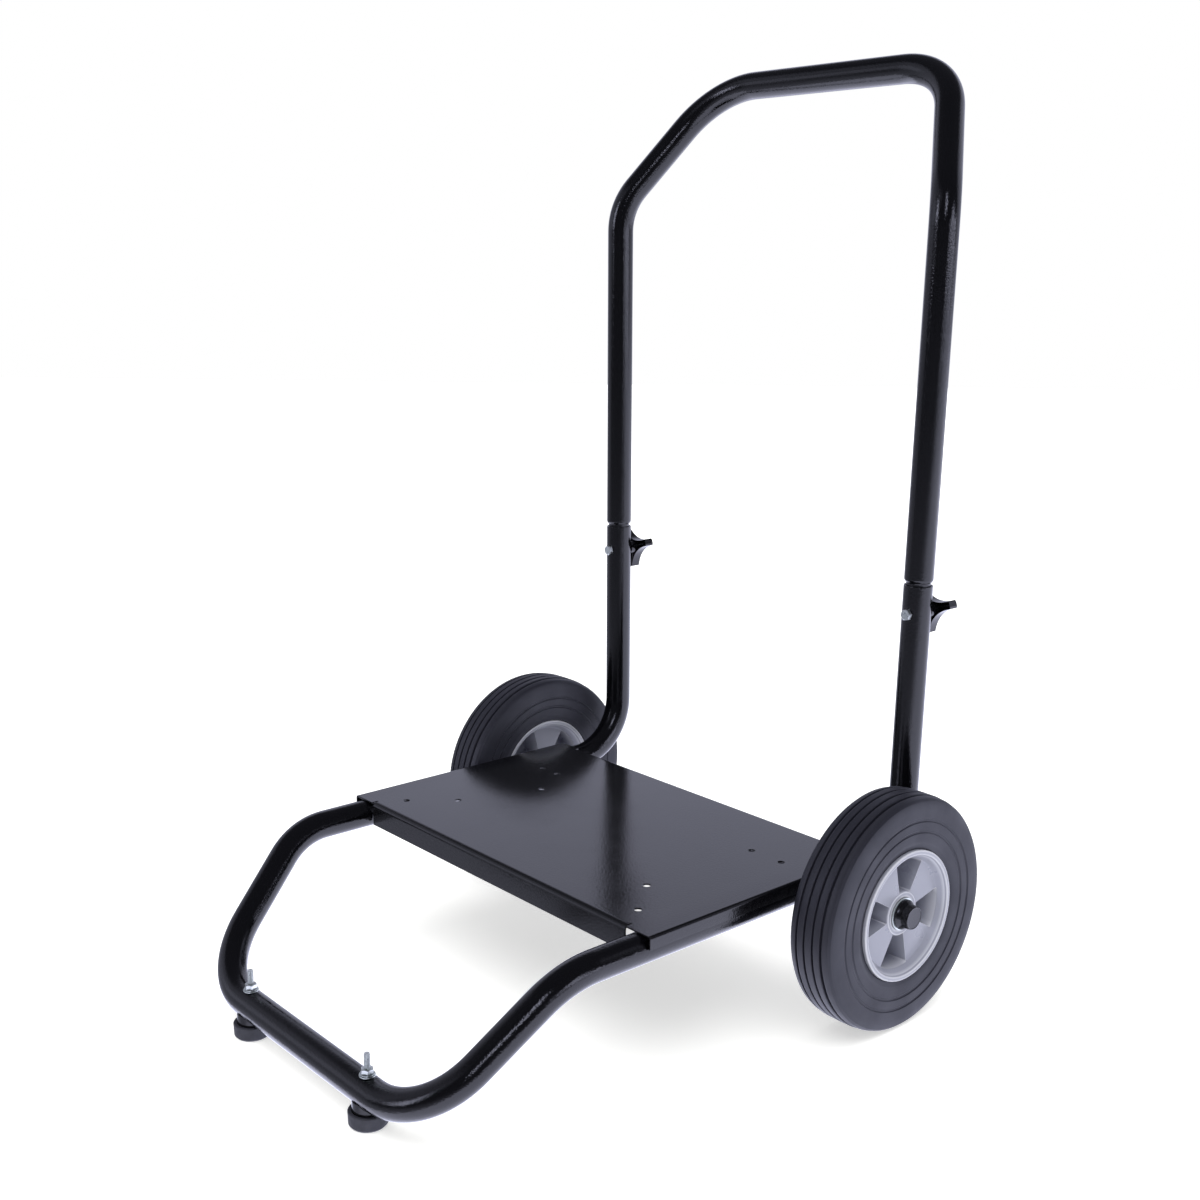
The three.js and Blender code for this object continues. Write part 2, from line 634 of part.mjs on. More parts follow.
const bearingBore = AXLE_R + 0.1;
const washerBore = AXLE_R + GAP;
const bracketOuter = RAIL_X + BRACKET_THICK / 2;
for (const [name, side] of sides) {
  addPart(`tyre_${name}`, onAxle(lathe(tyreProfile(), 48), side), 'tyre');
  addPart(`rim_${name}`, makeRim(side), 'rim');
  const bearingAt = [['inner', hubInner + 0.5], ['outer', hubOuter - 0.5 - BEARING_WIDTH]];
  for (const [place, low] of bearingAt) {
    const bearing = tube(bearingBore, BEARING_R, low, low + BEARING_WIDTH, 20);
    addPart(`bearing_${place}_${name}`, onAxle(bearing, side), 'steel');
  }
  const spacer = tube(washerBore, SPACER_R, bracketOuter + GAP, hubInner - 2 - 2 * GAP, 20);
  addPart(`axle_spacer_${name}`, onAxle(spacer, side), 'steel');
  const innerWasher = tube(washerBore, 16, hubInner - 2 - GAP, hubInner - GAP, 20);
  addPart(`washer_inner_${name}`, onAxle(innerWasher, side), 'zinc');
  const outerWasher = tube(washerBore, WASHER_R, hubOuter + GAP, hubOuter + 1.9, 24);
  addPart(`washer_outer_${name}`, onAxle(outerWasher, side), 'zinc');
  const pushNut = tube(washerBore, PUSH_NUT_R, hubOuter + 2.3, hubOuter + 3.5, 20);
  addPart(`push_nut_${name}`, onAxle(pushNut, side), 'steel');
  addPart(`axle_cap_${name}`, makeCap(side), 'plastic');
}

export default cart;
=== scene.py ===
"""A two-wheeled transport cart: tube frame, handle, folded deck, feet, knobs and wheels."""

import math

import bmesh
import bpy
from mathutils import Matrix, Vector


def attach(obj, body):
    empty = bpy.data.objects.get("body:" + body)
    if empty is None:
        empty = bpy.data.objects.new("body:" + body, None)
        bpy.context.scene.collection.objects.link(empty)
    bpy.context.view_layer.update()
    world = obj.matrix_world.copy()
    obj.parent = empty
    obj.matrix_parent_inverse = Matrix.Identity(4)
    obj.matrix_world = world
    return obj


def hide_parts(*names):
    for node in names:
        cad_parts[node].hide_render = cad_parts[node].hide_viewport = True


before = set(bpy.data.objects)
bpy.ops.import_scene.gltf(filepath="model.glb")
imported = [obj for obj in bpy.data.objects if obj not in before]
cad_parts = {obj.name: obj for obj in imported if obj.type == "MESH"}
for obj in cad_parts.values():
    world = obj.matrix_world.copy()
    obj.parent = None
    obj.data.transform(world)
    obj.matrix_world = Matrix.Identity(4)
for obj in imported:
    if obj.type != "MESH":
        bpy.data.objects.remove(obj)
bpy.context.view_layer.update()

MM = 0.001
SIDES = (("left", -1), ("right", 1))

# ---------------------------------------------------------------- sizes
# Millimetres: X to the cart's right, Y to its rear, Z up from the floor.
TUBE_R, BORE_R = 15.875, 14.225
RAIL_X, RAIL_Z, RAIL_FRONT_Y = 238.0, 155.4, -225.64
AXLE_Y, AXLE_Z = 173.76, 129.0
UPRIGHT_Y = 269.06
KNEE_X, KNEE_Z = 247.2, 865.5
SOCKET_Z, NECK, INSERTION, SWAGE_R = 459.2, 4.5, 70.0, 13.4
FRONT_X, FRONT_Y, FRONT_Z = 194.5, -360.44, 33.8
GRIP_X, GRIP_Y, GRIP_Z = 174.3, 364.16, 1008.2
REAR_BEND_R, SLOPE_BEND_R, CROSSBAR_BEND_R = 70.0, 85.0, 92.4
KNEE_BEND_R, GRIP_BEND_R = 81.6, 95.3
KNOB_Z, KNOB_TURN = 428.3, 20.0
BOLT_R, HEX_AF = 3.175, 11.1125
BOLT_HOLE_R, DECK_HOLE_R = 3.5, 4.1
AXLE_R, AXLE_HOLE_R, AXLE_END_X = 7.9375, 8.24, 328.5
FOOT_X, FOOT_SEAT, FOOT_HEIGHT, SADDLE_TOP, STUD_TOP = 110.9, 11.5, 15.5, 26.5, 73.0
DECK_X, DECK_FRONT, DECK_REAR, DECK_Z = 256.2, -135.94, 184.56, 173.575
LIP_X, SHEET, FOLD_R, LIP_FOLD_R = 220.0, 2.0, 3.5, 6.0
WHEEL_X = 296.7
HUB_OUTER, HUB_INNER = 316.0, 263.3
GAP = 0.3


def upright_x(z):
    """Centre line of an upright: it leans out from the rail to the knee."""
    return RAIL_X + (KNEE_X - RAIL_X) * (z - RAIL_Z) / (KNEE_Z - RAIL_Z)


# ---------------------------------------------------------------- camera
CAMERA_AT = (1.20141, -1.04320, 0.78863)
CAMERA_TURN = (48.48, -12.97, 0.66)  # yaw, pitch and roll, in degrees
CAMERA_LENS, CAMERA_SHIFT = 44.875, (0.0013, 0.0115)
TOWARDS_CAMERA = (0.7545, -0.6563, 0.0)
RIGHT_OF_CAMERA = (0.6563, 0.7545, 0.0)


def make_camera():
    """The camera, ahead of the cart and to its right."""
    yaw, pitch, roll = (math.radians(v) for v in CAMERA_TURN)
    flat = math.cos(pitch)
    ahead = Vector((-math.sin(yaw) * flat, math.cos(yaw) * flat, math.sin(pitch)))
    right = Vector((math.cos(yaw), math.sin(yaw), 0.0))
    up = right.cross(ahead)
    turned_right = right * math.cos(roll) + up * math.sin(roll)
    turned_up = up * math.cos(roll) - right * math.sin(roll)
    data = bpy.data.cameras.new("camera")
    data.sensor_width = 36.0
    data.lens = CAMERA_LENS
    data.shift_x, data.shift_y = CAMERA_SHIFT
    camera = bpy.data.objects.new("camera", data)
    camera.matrix_world = Matrix((
        (turned_right.x, turned_up.x, -ahead.x, CAMERA_AT[0]),
        (turned_right.y, turned_up.y, -ahead.y, CAMERA_AT[1]),
        (turned_right.z, turned_up.z, -ahead.z, CAMERA_AT[2]),
        (0.0, 0.0, 0.0, 1.0),
    ))
    bpy.context.scene.collection.objects.link(camera)
    bpy.context.scene.camera = camera


# ---------------------------------------------------------------- node helpers
RANGE_SOCKETS = ("From Min", "From Max", "To Min", "To Max")


class Finish:
    """A procedural material: one Principled shader and the textures that drive it."""

    def __init__(self, name, color, roughness, metallic=0.0, specular=0.5):
        self.material = bpy.data.materials.new(name)
        self.material.use_nodes = True
        self.tree = self.material.node_tree
        self.shader = self.tree.nodes["Principled BSDF"]
        self.shader.inputs["Base Color"].default_value = (*color, 1.0)
        self.shader.inputs["Roughness"].default_value = roughness
        self.shader.inputs["Metallic"].default_value = metallic
        self.shader.inputs["Specular IOR Level"].default_value = specular
        self.place = self.tree.nodes.new("ShaderNodeTexCoord").outputs["Object"]
        self.normal = None

    def link(self, source, target):
        self.tree.links.new(source, target)

    def noise(self, scale, detail=2.0, roughness=0.5, stretch=(1.0, 1.0, 1.0)):
        node = self.tree.nodes.new("ShaderNodeTexNoise")
        node.inputs["Scale"].default_value = scale
        node.inputs["Detail"].default_value = detail
        node.inputs["Roughness"].default_value = roughness
        source = self.place
        if stretch != (1.0, 1.0, 1.0):
            mapping = self.tree.nodes.new("ShaderNodeMapping")
            mapping.inputs["Scale"].default_value = stretch
            self.link(self.place, mapping.inputs["Vector"])
            source = mapping.outputs["Vector"]
        self.link(source, node.inputs["Vector"])
        return node.outputs["Fac"]

    def spread(self, value, low, high, to_low, to_high):
        node = self.tree.nodes.new("ShaderNodeMapRange")
        for name, number in zip(RANGE_SOCKETS, (low, high, to_low, to_high)):
            node.inputs[name].default_value = number
        self.link(value, node.inputs["Value"])
        return node.outputs["Result"]

    def blend(self, factor, first, second):
        node = self.tree.nodes.new("ShaderNodeMix")
        node.data_type = "RGBA"
        self.link(factor, node.inputs["Factor"])
        for slot, value in ((node.inputs["A"], first), (node.inputs["B"], second)):
            if isinstance(value, tuple):
                slot.default_value = (*value, 1.0)
            else:
                self.link(value, slot)
        return node.outputs["Result"]

    def edge_highlight(self, low, high, most):
        """A painted highlight on sharp edges: none at the low sharpness, the most at the high."""
        node = self.tree.nodes.new("ShaderNodeAttribute")
        node.attribute_name = "edge"
        return self.spread(node.outputs["Fac"], low, high, 0.0, most)

    def colour(self, source):
        self.link(source, self.shader.inputs["Base Color"])

    def rough(self, pattern, low, high):
        """Roughness between low and high, following the middle of a pattern."""
        self.link(self.spread(pattern, 0.3, 0.7, low, high), self.shader.inputs["Roughness"])

    def bump(self, height, strength, millimetres):
        node = self.tree.nodes.new("ShaderNodeBump")
        node.inputs["Strength"].default_value = strength
        node.inputs["Distance"].default_value = millimetres * MM
        self.link(height, node.inputs["Height"])
        if self.normal is not None:
            self.link(self.normal, node.inputs["Normal"])
        self.normal = node.outputs["Normal"]
        self.link(self.normal, self.shader.inputs["Normal"])


def gloss_paint():
    """Black powder coat on the tubes: orange peel, a faint mottled tone, and a painted highlight
    on sharp edges.
    """
    f = Finish("gloss_black_paint", (0.001, 0.001, 0.0015), 0.1)
    f.bump(f.noise(620.0, 1.5, 0.5), 1.0, 0.19)
    f.bump(f.noise(1100.0, 1.0), 0.25, 0.03)
    mottled = f.blend(f.noise(9.0, 3.0), (0.0006, 0.0006, 0.001), (0.0018, 0.0018, 0.0026))
    # painted highlight: a paler colour on the sharp convex edges
    edge = f.edge_highlight(0.25, 0.9, 0.4)
    f.colour(f.blend(edge, mottled, (0.02, 0.021, 0.025)))
    f.rough(f.noise(26.0, 4.0), 0.07, 0.12)
    return f.material


def deck_paint():
    """The same black coat on the flat sheet, finer and less glossy, with a painted highlight on
    its sharp edges.
    """
    f = Finish("satin_black_paint", (0.003, 0.003, 0.004), 0.3)
    f.bump(f.noise(420.0, 1.5, 0.5), 0.8, 0.14)
    f.bump(f.noise(1000.0, 1.0), 0.25, 0.03)
    mottled = f.blend(f.noise(7.0, 4.0), (0.0007, 0.0007, 0.0011), (0.0022, 0.0022, 0.003))
    # painted highlight: a paler colour on the sharp convex edges
    edge = f.edge_highlight(0.2, 0.9, 0.5)
    f.colour(f.blend(edge, mottled, (0.025, 0.026, 0.03)))
    f.rough(f.noise(18.0, 5.0), 0.12, 0.17)
    return f.material


def zinc_plate():
    """Bright zinc plating: cloudy tint, fine grain, and a painted highlight on the sharp edges."""
    f = Finish("zinc_plate", (0.62, 0.67, 0.64), 0.34, metallic=1.0)
    cloudy = f.blend(f.noise(160.0, 4.0), (0.52, 0.57, 0.55), (0.74, 0.79, 0.74))
    # painted highlight: a paler colour on the sharp convex edges
    edge = f.edge_highlight(0.2, 0.8, 0.5)
    f.colour(f.blend(edge, cloudy, (0.88, 0.9, 0.87)))
    f.rough(f.noise(420.0, 3.0), 0.26, 0.46)
    f.bump(f.noise(1400.0, 3.0), 0.3, 0.03)
    return f.material


def plain_steel():
    """Bare turned steel with faint turning lines and a thin film of oil."""
    f = Finish("turned_steel", (0.5, 0.5, 0.51), 0.3, metallic=1.0)
    f.colour(f.blend(f.noise(60.0, 5.0), (0.38, 0.38, 0.39), (0.58, 0.58, 0.59)))
    f.rough(f.noise(90.0, 4.0), 0.22, 0.42)
    f.bump(f.noise(40.0, 2.0, 0.5, (60.0, 1.0, 1.0)), 0.3, 0.02)
    return f.material


def turned_brass():
    """Plain brass of the threaded inserts."""
    f = Finish("turned_brass", (0.62, 0.44, 0.18), 0.3, metallic=1.0)
    f.colour(f.blend(f.noise(80.0, 4.0), (0.52, 0.36, 0.14), (0.7, 0.52, 0.24)))
    f.rough(f.noise(200.0, 3.0), 0.24, 0.4)
    f.bump(f.noise(900.0, 2.0), 0.2, 0.02)
    return f.material


def tyre_rubber():
    """Solid rubber: blue-grey bloom, fine mould grain, and a painted highlight on the edges."""
    f = Finish("tyre_rubber", (0.014, 0.0142, 0.022), 0.5, specular=0.35)
    bloom = f.blend(f.noise(14.0, 5.0, 0.6), (0.0105, 0.0108, 0.017), (0.017, 0.0175, 0.027))
    # painted highlight: a paler colour on the sharp convex edges
    edge = f.edge_highlight(0.1, 0.8, 0.5)
    f.colour(f.blend(edge, bloom, (0.05, 0.051, 0.066)))
    f.rough(f.noise(30.0, 4.0), 0.42, 0.56)
    f.bump(f.noise(700.0, 4.0, 0.6), 0.35, 0.12)
    return f.material


def rim_plastic():
    """Moulded grey plastic with a soft sheen, fine spark texture and a painted highlight on its
    edges.
    """
    f = Finish("grey_moulded_plastic", (0.28, 0.29, 0.36), 0.36)
    tone = f.blend(f.noise(22.0, 4.0), (0.255, 0.264, 0.33), (0.295, 0.304, 0.378))
    # painted highlight: a much paler colour on the sharp convex edges
    edge = f.edge_highlight(0.15, 0.8, 0.8)
    f.colour(f.blend(edge, tone, (0.72, 0.73, 0.8)))
    f.rough(f.noise(45.0, 3.0), 0.26, 0.38)
    f.bump(f.noise(1100.0, 2.0), 0.25, 0.04)
    return f.material


def black_plastic():
    """Black moulded plastic of the knobs, caps and saddles, with a painted highlight on sharp
    edges.
    """
    f = Finish("black_moulded_plastic", (0.004, 0.004, 0.005), 0.3)
    tone = f.blend(f.noise(60.0, 4.0), (0.0015, 0.0015, 0.0022), (0.004, 0.004, 0.0052))
    # painted highlight: a paler colour on the sharp convex edges
    edge = f.edge_highlight(0.3, 0.9, 0.4)
    f.colour(f.blend(edge, tone, (0.03, 0.03, 0.036)))
    f.rough(f.noise(90.0, 3.0), 0.12, 0.22)
    f.bump(f.noise(900.0, 2.0), 0.3, 0.05)
    return f.material


def foot_rubber():
    """Black rubber of the feet, with a painted highlight on the edges."""
    f = Finish("foot_rubber", (0.03, 0.031, 0.041), 0.6, specular=0.4)
    tone = f.blend(f.noise(70.0, 5.0), (0.019, 0.0198, 0.027), (0.033, 0.034, 0.045))
    # painted highlight: a paler colour on the sharp convex edges
    edge = f.edge_highlight(0.15, 0.8, 0.5)
    f.colour(f.blend(edge, tone, (0.08, 0.08, 0.1)))
    f.rough(f.noise(160.0, 4.0), 0.5, 0.7)
    f.bump(f.noise(1100.0, 3.0), 0.4, 0.08)
    return f.material


MATERIALS = {
    "frame_paint": gloss_paint(), "deck_paint": deck_paint(), "zinc": zinc_plate(),
    "steel": plain_steel(), "brass": turned_brass(), "foot_rubber": foot_rubber(),
    "tyre_rubber": tyre_rubber(), "rim_plastic": rim_plastic(), "black_plastic": black_plastic(),
}


# ---------------------------------------------------------------- mesh helpers
class Shell:
    """Vertices in millimetres, and the faces between them."""

    def __init__(self):
        self.verts = []
        self.faces = []

    def rings(self, rings, closed=False, cap=False):
        """Joins rings of equal length with quads; closed joins the last to the first."""
        start = len(self.verts)
        count = len(rings[0])
        for ring in rings:
            self.verts.extend(ring)
        last = len(rings) if closed else len(rings) - 1
        for i in range(last):
            a = start + i * count
            b = start + (i + 1) % len(rings) * count
            for k in range(count):
                n = (k + 1) % count
                self.faces.append((a + k, a + n, b + n, b + k))
        if cap:
            self.faces.append(tuple(start + k for k in reversed(range(count))))
            end = start + (len(rings) - 1) * count
            self.faces.append(tuple(end + k for k in range(count)))
        return self

    def mesh(self, side=1):
        """The mesh in metres with its faces turned outward; side -1 mirrors it in X."""
        mesh = bpy.data.meshes.new("shell")
        places = [Vector((x * side, y, z)) * MM for x, y, z in self.verts]
        mesh.from_pydata(places, [], self.faces)
        bm = bmesh.new()
        bm.from_mesh(mesh)
        bmesh.ops.recalc_face_normals(bm, faces=bm.faces)
        if bm.calc_volume(signed=True) < 0:
            bmesh.ops.reverse_faces(bm, faces=bm.faces)
        bm.to_mesh(mesh)
        bm.free()
        return mesh


def fillet(points, radius, steps=3, closed=True):
    """Rounds the corners of a 2-D outline; a short side limits the rounding."""
    if radius == 0.0:
        return [Vector(p) for p in points]
    out = []
    count = len(points)
    for i, p in enumerate(points):
        p = Vector(p)
        if not closed and i in (0, count - 1):
            out.append(p)
            continue
        a = Vector(points[i - 1]) - p
        b = Vector(points[(i + 1) % count]) - p
        if a.length < 1e-6 or b.length < 1e-6:
            continue
        turn = math.pi - a.angle(b)
        if turn < math.radians(18):
            out.append(p)
            continue
        back = min(radius * math.tan(turn / 2), 0.45 * a.length, 0.45 * b.length)
        first, last = p + a.normalized() * back, p + b.normalized() * back
        for k in range(steps + 1):
            t = k / steps
            out.append(first * (1 - t) ** 2 + p * 2 * t * (1 - t) + last * t ** 2)
    return out


AXES = {
    "x": lambda r, h, c, s: (h, r * c, r * s),
    "y": lambda r, h, c, s: (r * s, h, r * c),
    "z": lambda r, h, c, s: (r * c, r * s, h),
}


def turned(profile, axis, centre, count=48, rounding=0.4):
    """A turned piece. A profile that starts and ends on the axis is solid, any other is a ring."""
    solid = profile[0][0] == 0.0
    points = fillet(profile, rounding, closed=not solid)
    rings = []
    body = points[1:-1] if solid else points
    for r, h in body:
        ring = []
        for k in range(count):
            angle = 2 * math.pi * k / count
            spot = AXES[axis](r, h, math.cos(angle), math.sin(angle))
            ring.append(tuple(a + b for a, b in zip(spot, centre)))
        rings.append(ring)
    shell = Shell()
    shell.rings(rings, closed=not solid)
    if solid:
        for pole, first in ((points[0], 0), (points[-1], (len(body) - 1) * count)):
            tip = len(shell.verts)
            spot = AXES[axis](0.0, pole[1], 1.0, 0.0)
            shell.verts.append(tuple(a + b for a, b in zip(spot, centre)))
            for k in range(count):
                shell.faces.append((first + k, first + (k + 1) % count, tip))
    return shell


def cylinder(axis, centre, radius, low, high, count=24):
    """A plain cylinder mesh, for rods and for cutting holes."""
    profile = [(0.0, low), (radius, low), (radius, high), (0.0, high)]
    return turned(profile, axis, centre, count, rounding=0.0).mesh()


def collar(axis, centre, radii, ends, count, rounding):
    """A round ring of square section, from radii (inner, outer) and ends (low, high)."""
    (inner, outer), (low, high) = radii, ends
    profile = [(inner, low), (outer, low), (outer, high), (inner, high)]
    return turned(profile, axis, centre, count, rounding)


def prism(outline, axis, low, high, centre):
    """A straight extrusion of a 2-D outline along an axis."""
    place = {
        "x": lambda u, v, h: (h, u, v),
        "y": lambda u, v, h: (u, h, v),
        "z": lambda u, v, h: (u, v, h),
    }[axis]
    rings = [
        [tuple(a + b for a, b in zip(place(u, v, h), centre)) for u, v in outline]
        for h in (low, high)
    ]
    return Shell().rings(rings, cap=True)


def hexagon(across, turn):
    """The six corners of a hexagon, turned by an angle in degrees."""
    radius = across / math.sqrt(3)
    angles = [math.radians(60 * k + turn) for k in range(6)]
    return [(radius * math.cos(a), radius * math.sin(a)) for a in angles]


def threaded(low, high, centre, axis, major=3.1, minor=2.55, pitch=1.27, count=24):
    """A rod with a rolled thread: the radius follows the helix."""
    steps = int((high - low) / pitch * 6)
    body = []
    for i in range(steps + 1):
        h = low + (high - low) * i / steps
        ring = []
        for k in range(count):
            phase = (h / pitch - k / count) % 1.0
            crest = min(1.0, max(0.0, 1.6 - 3.6 * abs(phase - 0.5)))
            fade = min(1.0, (high - h) / 1.2)
            r = minor + (major - minor) * crest * fade
            angle = 2 * math.pi * k / count
            spot = AXES[axis](r, h, math.cos(angle), math.sin(angle))
            ring.append(tuple(a + b for a, b in zip(spot, centre)))
        body.append(ring)
    return Shell().rings(body, cap=True)


def combine(mesh, others, operation):
    """Boolean of a mesh with several others, returned as a new mesh."""
    for other in others:
        base = bpy.data.objects.new("base", mesh)
        tool = bpy.data.objects.new("tool", other)
        for o in (base, tool):
            bpy.context.scene.collection.objects.link(o)
        modifier = base.modifiers.new("combine", "BOOLEAN")
        modifier.operation = operation
        modifier.solver = "EXACT"
        modifier.object = tool
        mesh = applied(base)
        bpy.data.objects.remove(base)
        bpy.data.objects.remove(tool)
    return mesh


def applied(obj):
    """The object's mesh with its modifiers applied."""
    graph = bpy.context.evaluated_depsgraph_get()
    graph.update()
    return bpy.data.meshes.new_from_object(obj.evaluated_get(graph))


def mark_edges(mesh):
    """Stores how sharply convex each vertex is, so that a finish can paint a highlight there."""
    bm = bmesh.new()
    bm.from_mesh(mesh)
    values = [0.0] * len(bm.verts)
    for edge in bm.edges:
        if len(edge.link_faces) == 2 and edge.is_convex:
            angle = edge.calc_face_angle(0.0)
            for vert in edge.verts:
                values[vert.index] = max(values[vert.index], min(1.0, angle / math.radians(60)))
    bm.free()
    layer = mesh.attributes.new("edge", "FLOAT", "POINT")
    layer.data.foreach_set("value", values)


def piece(name, mesh, slot, body, *nodes, bevel=0.0, segments=2, sharp=40.0):
    """Turns a mesh into a finished piece: bevelled, shaded, on its body and slot."""
    obj = bpy.data.objects.new(name, mesh)
    bpy.context.scene.collection.objects.link(obj)
    if bevel:
        modifier = obj.modifiers.new("bevel", "BEVEL")
        modifier.width = bevel * MM
        modifier.segments = segments
        modifier.limit_method = "ANGLE"
        modifier.angle_limit = math.radians(35)
        modifier.use_clamp_overlap = True
        modifier.miter_outer = "MITER_ARC"
        obj.data = applied(obj)
        obj.modifiers.clear()
    mesh = obj.data
    mark_edges(mesh)
    mesh.shade_smooth()
    mesh.set_sharp_from_angle(angle=math.radians(sharp))
    modifier = obj.modifiers.new("normals", "WEIGHTED_NORMAL")
    modifier.keep_sharp = True
    modifier.weight = 80
    obj.data = applied(obj)
    obj.modifiers.clear()
    obj.data.name = name
    obj.data.materials.clear()
    obj.data.materials.append(MATERIALS[slot])
    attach(obj, body)
    if nodes:
        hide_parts(*nodes)
    return obj


# ---------------------------------------------------------------- bent tubes
CUT = 22.0  # a cutter reaches this far each way from a tube's centre line


def bent_path(corners, step=4.0):
    """Stations (point, tangent) along straight runs joined by tangent arcs."""
    points = [Vector(c[0]) for c in corners]
    stations = [(points[0], (points[1] - points[0]).normalized())]
    for i in range(1, len(points) - 1):
        into = (points[i] - points[i - 1]).normalized()
        out = (points[i + 1] - points[i]).normalized()
        radius = corners[i][1]
        turn = into.angle(out)
        start = points[i] - into * radius * math.tan(turn / 2)
        inward = (out - into * out.dot(into)).normalized()
        steps = max(2, math.ceil(math.degrees(turn) / step))
        for k in range(steps + 1):
            a = turn * k / steps
            spot = start + into * radius * math.sin(a) + inward * radius * (1 - math.cos(a))
            stations.append((spot, into * math.cos(a) + inward * math.sin(a)))
    stations.append((points[-1], (points[-1] - points[-2]).normalized()))
    return stations


def with_rings(stations, spots, reach=9.5):
    """Adds a station on both sides of each spot that lies on a straight run."""
    for spot in (Vector(s) for s in spots):
        for i in range(len(stations) - 1):
            (p, t), (q, _) = stations[i], stations[i + 1]
            along = (spot - p).dot(t)
            if (spot - p - t * along).length < 0.5 and reach < along < (q - p).length - reach:
                extra = [(p + t * (along - reach), t), (p + t * (along + reach), t)]
                stations = stations[:i + 1] + extra + stations[i + 1:]
                break
    return stations


def ring_frames(stations):
    """A pair of vectors across the path at each station, carried along without twist."""
    tangent = stations[0][1]
    across = tangent.orthogonal().normalized()
    frames = []
    for _, t in stations:
        across = (across - t * across.dot(t)).normalized()
        frames.append((across.copy(), t.cross(across)))
    return frames


def pipe(stations, outer, inner, count=44, lip=0.45):
    """A hollow tube. outer and inner are one radius, or one for each station."""
    frames = ring_frames(stations)
    outer = outer if isinstance(outer, list) else [outer] * len(stations)
    inner = inner if isinstance(inner, list) else [inner] * len(stations)

    def ring(i, radius, shift=0.0):
        centre = stations[i][0] + stations[i][1] * shift
        a, b = frames[i]
        angles = [2 * math.pi * k / count for k in range(count)]
        return [tuple(centre + (a * math.cos(t) + b * math.sin(t)) * radius) for t in angles]

    last = len(stations) - 1
    outside = [ring(i, outer[i]) for i in range(1, last)]
    inside = [ring(i, inner[i]) for i in range(last - 1, 0, -1)]

    def end(i, way):
        """The rounded rim wall at one end, from the outer skin to the inner."""
        half = lip * 0.3
        return [
            ring(i, outer[i], way * lip), ring(i, outer[i] - half, way * half * 0.6),
            ring(i, outer[i] - lip), ring(i, inner[i] + lip * 0.7),
            ring(i, inner[i], way * lip * 0.7),
        ]

    loop = end(0, 1)[::-1] + outside + end(last, -1) + inside
    return Shell().rings(loop, closed=True)


def bolt_holes():
    """Cutters for the knob bolts through both legs."""
    return [
        cylinder("y", (side * upright_x(KNOB_Z), UPRIGHT_Y, KNOB_Z), BOLT_HOLE_R, -CUT, CUT)
        for _, side in SIDES
    ]


def make_frame_tube():
    """The crossbar, slopes, rails and uprights, bent from one tube."""

    def half(side):
        return [
            ((side * upright_x(SOCKET_Z), UPRIGHT_Y, SOCKET_Z), 0.0),
            ((side * RAIL_X, UPRIGHT_Y, RAIL_Z), REAR_BEND_R),
            ((side * RAIL_X, RAIL_FRONT_Y, RAIL_Z), SLOPE_BEND_R),
            ((side * FRONT_X, FRONT_Y, FRONT_Z), CROSSBAR_BEND_R),
        ]

    stations = bent_path(half(-1) + half(1)[::-1])
    bolts = [(s * upright_x(KNOB_Z), UPRIGHT_Y, KNOB_Z) for _, s in SIDES]
    studs = [(s * FOOT_X, FRONT_Y, FRONT_Z) for _, s in SIDES]
    stations = with_rings(stations, bolts + studs)
    stud_holes = [cylinder("z", spot, BOLT_HOLE_R, -CUT, CUT) for spot in studs]
    mesh = combine(pipe(stations, TUBE_R, BORE_R).mesh(), bolt_holes() + stud_holes, "DIFFERENCE")
    piece("frame_tube_visual", mesh, "frame_paint", "cart", "frame_tube")


def make_handle_tube():
    """The handle, bent from one tube and necked where its ends enter the uprights."""
    low = SOCKET_Z - INSERTION

    def half(side):
        return [
            ((side * upright_x(low), UPRIGHT_Y, low), 0.0),
            ((side * KNEE_X, UPRIGHT_Y, KNEE_Z), KNEE_BEND_R),
            ((side * GRIP_X, GRIP_Y, GRIP_Z), GRIP_BEND_R),
        ]

    stations = bent_path(half(-1) + half(1)[::-1])
    swage = [(-2.2, SWAGE_R), (-0.6, 14.3), (0.6, 15.3), (1.9, 15.8), (3.2, TUBE_R)]
    first, last = stations[0], stations[-1]
    rise = (SOCKET_Z + NECK - low) / first[1].z
    head = [(first[0] + first[1] * (rise + s), first[1]) for s, _ in swage]
    tail = [(last[0] - last[1] * (rise + s), last[1]) for s, _ in reversed(swage)]
    path = [first] + head + stations[1:-1] + tail + [last]
    radii = [SWAGE_R] + [r for _, r in swage]
    outer = radii + [TUBE_R] * (len(stations) - 2) + radii[::-1]
    inner = [r - (TUBE_R - BORE_R) for r in outer]
    mesh = combine(pipe(path, outer, inner).mesh(), bolt_holes(), "DIFFERENCE")
    piece("handle_tube_visual", mesh, "frame_paint", "cart", "handle_tube")


# ---------------------------------------------------------------- deck
LIP_DEPTH, FLANGE_DEPTH = 27.5, 13.5
LIP_RELIEF = 2.2
DECK_HOLES = [  # (sideways, ahead of the axle)
    (-201.5, 275), (201.5, 275), (-163.5, 227.5), (163.5, 227.5),
    (168.2, 75.5), (211.2, 75.5), (-161.8, 75.5), (-189.7, 75.5), (-131.6, 125.8),
]


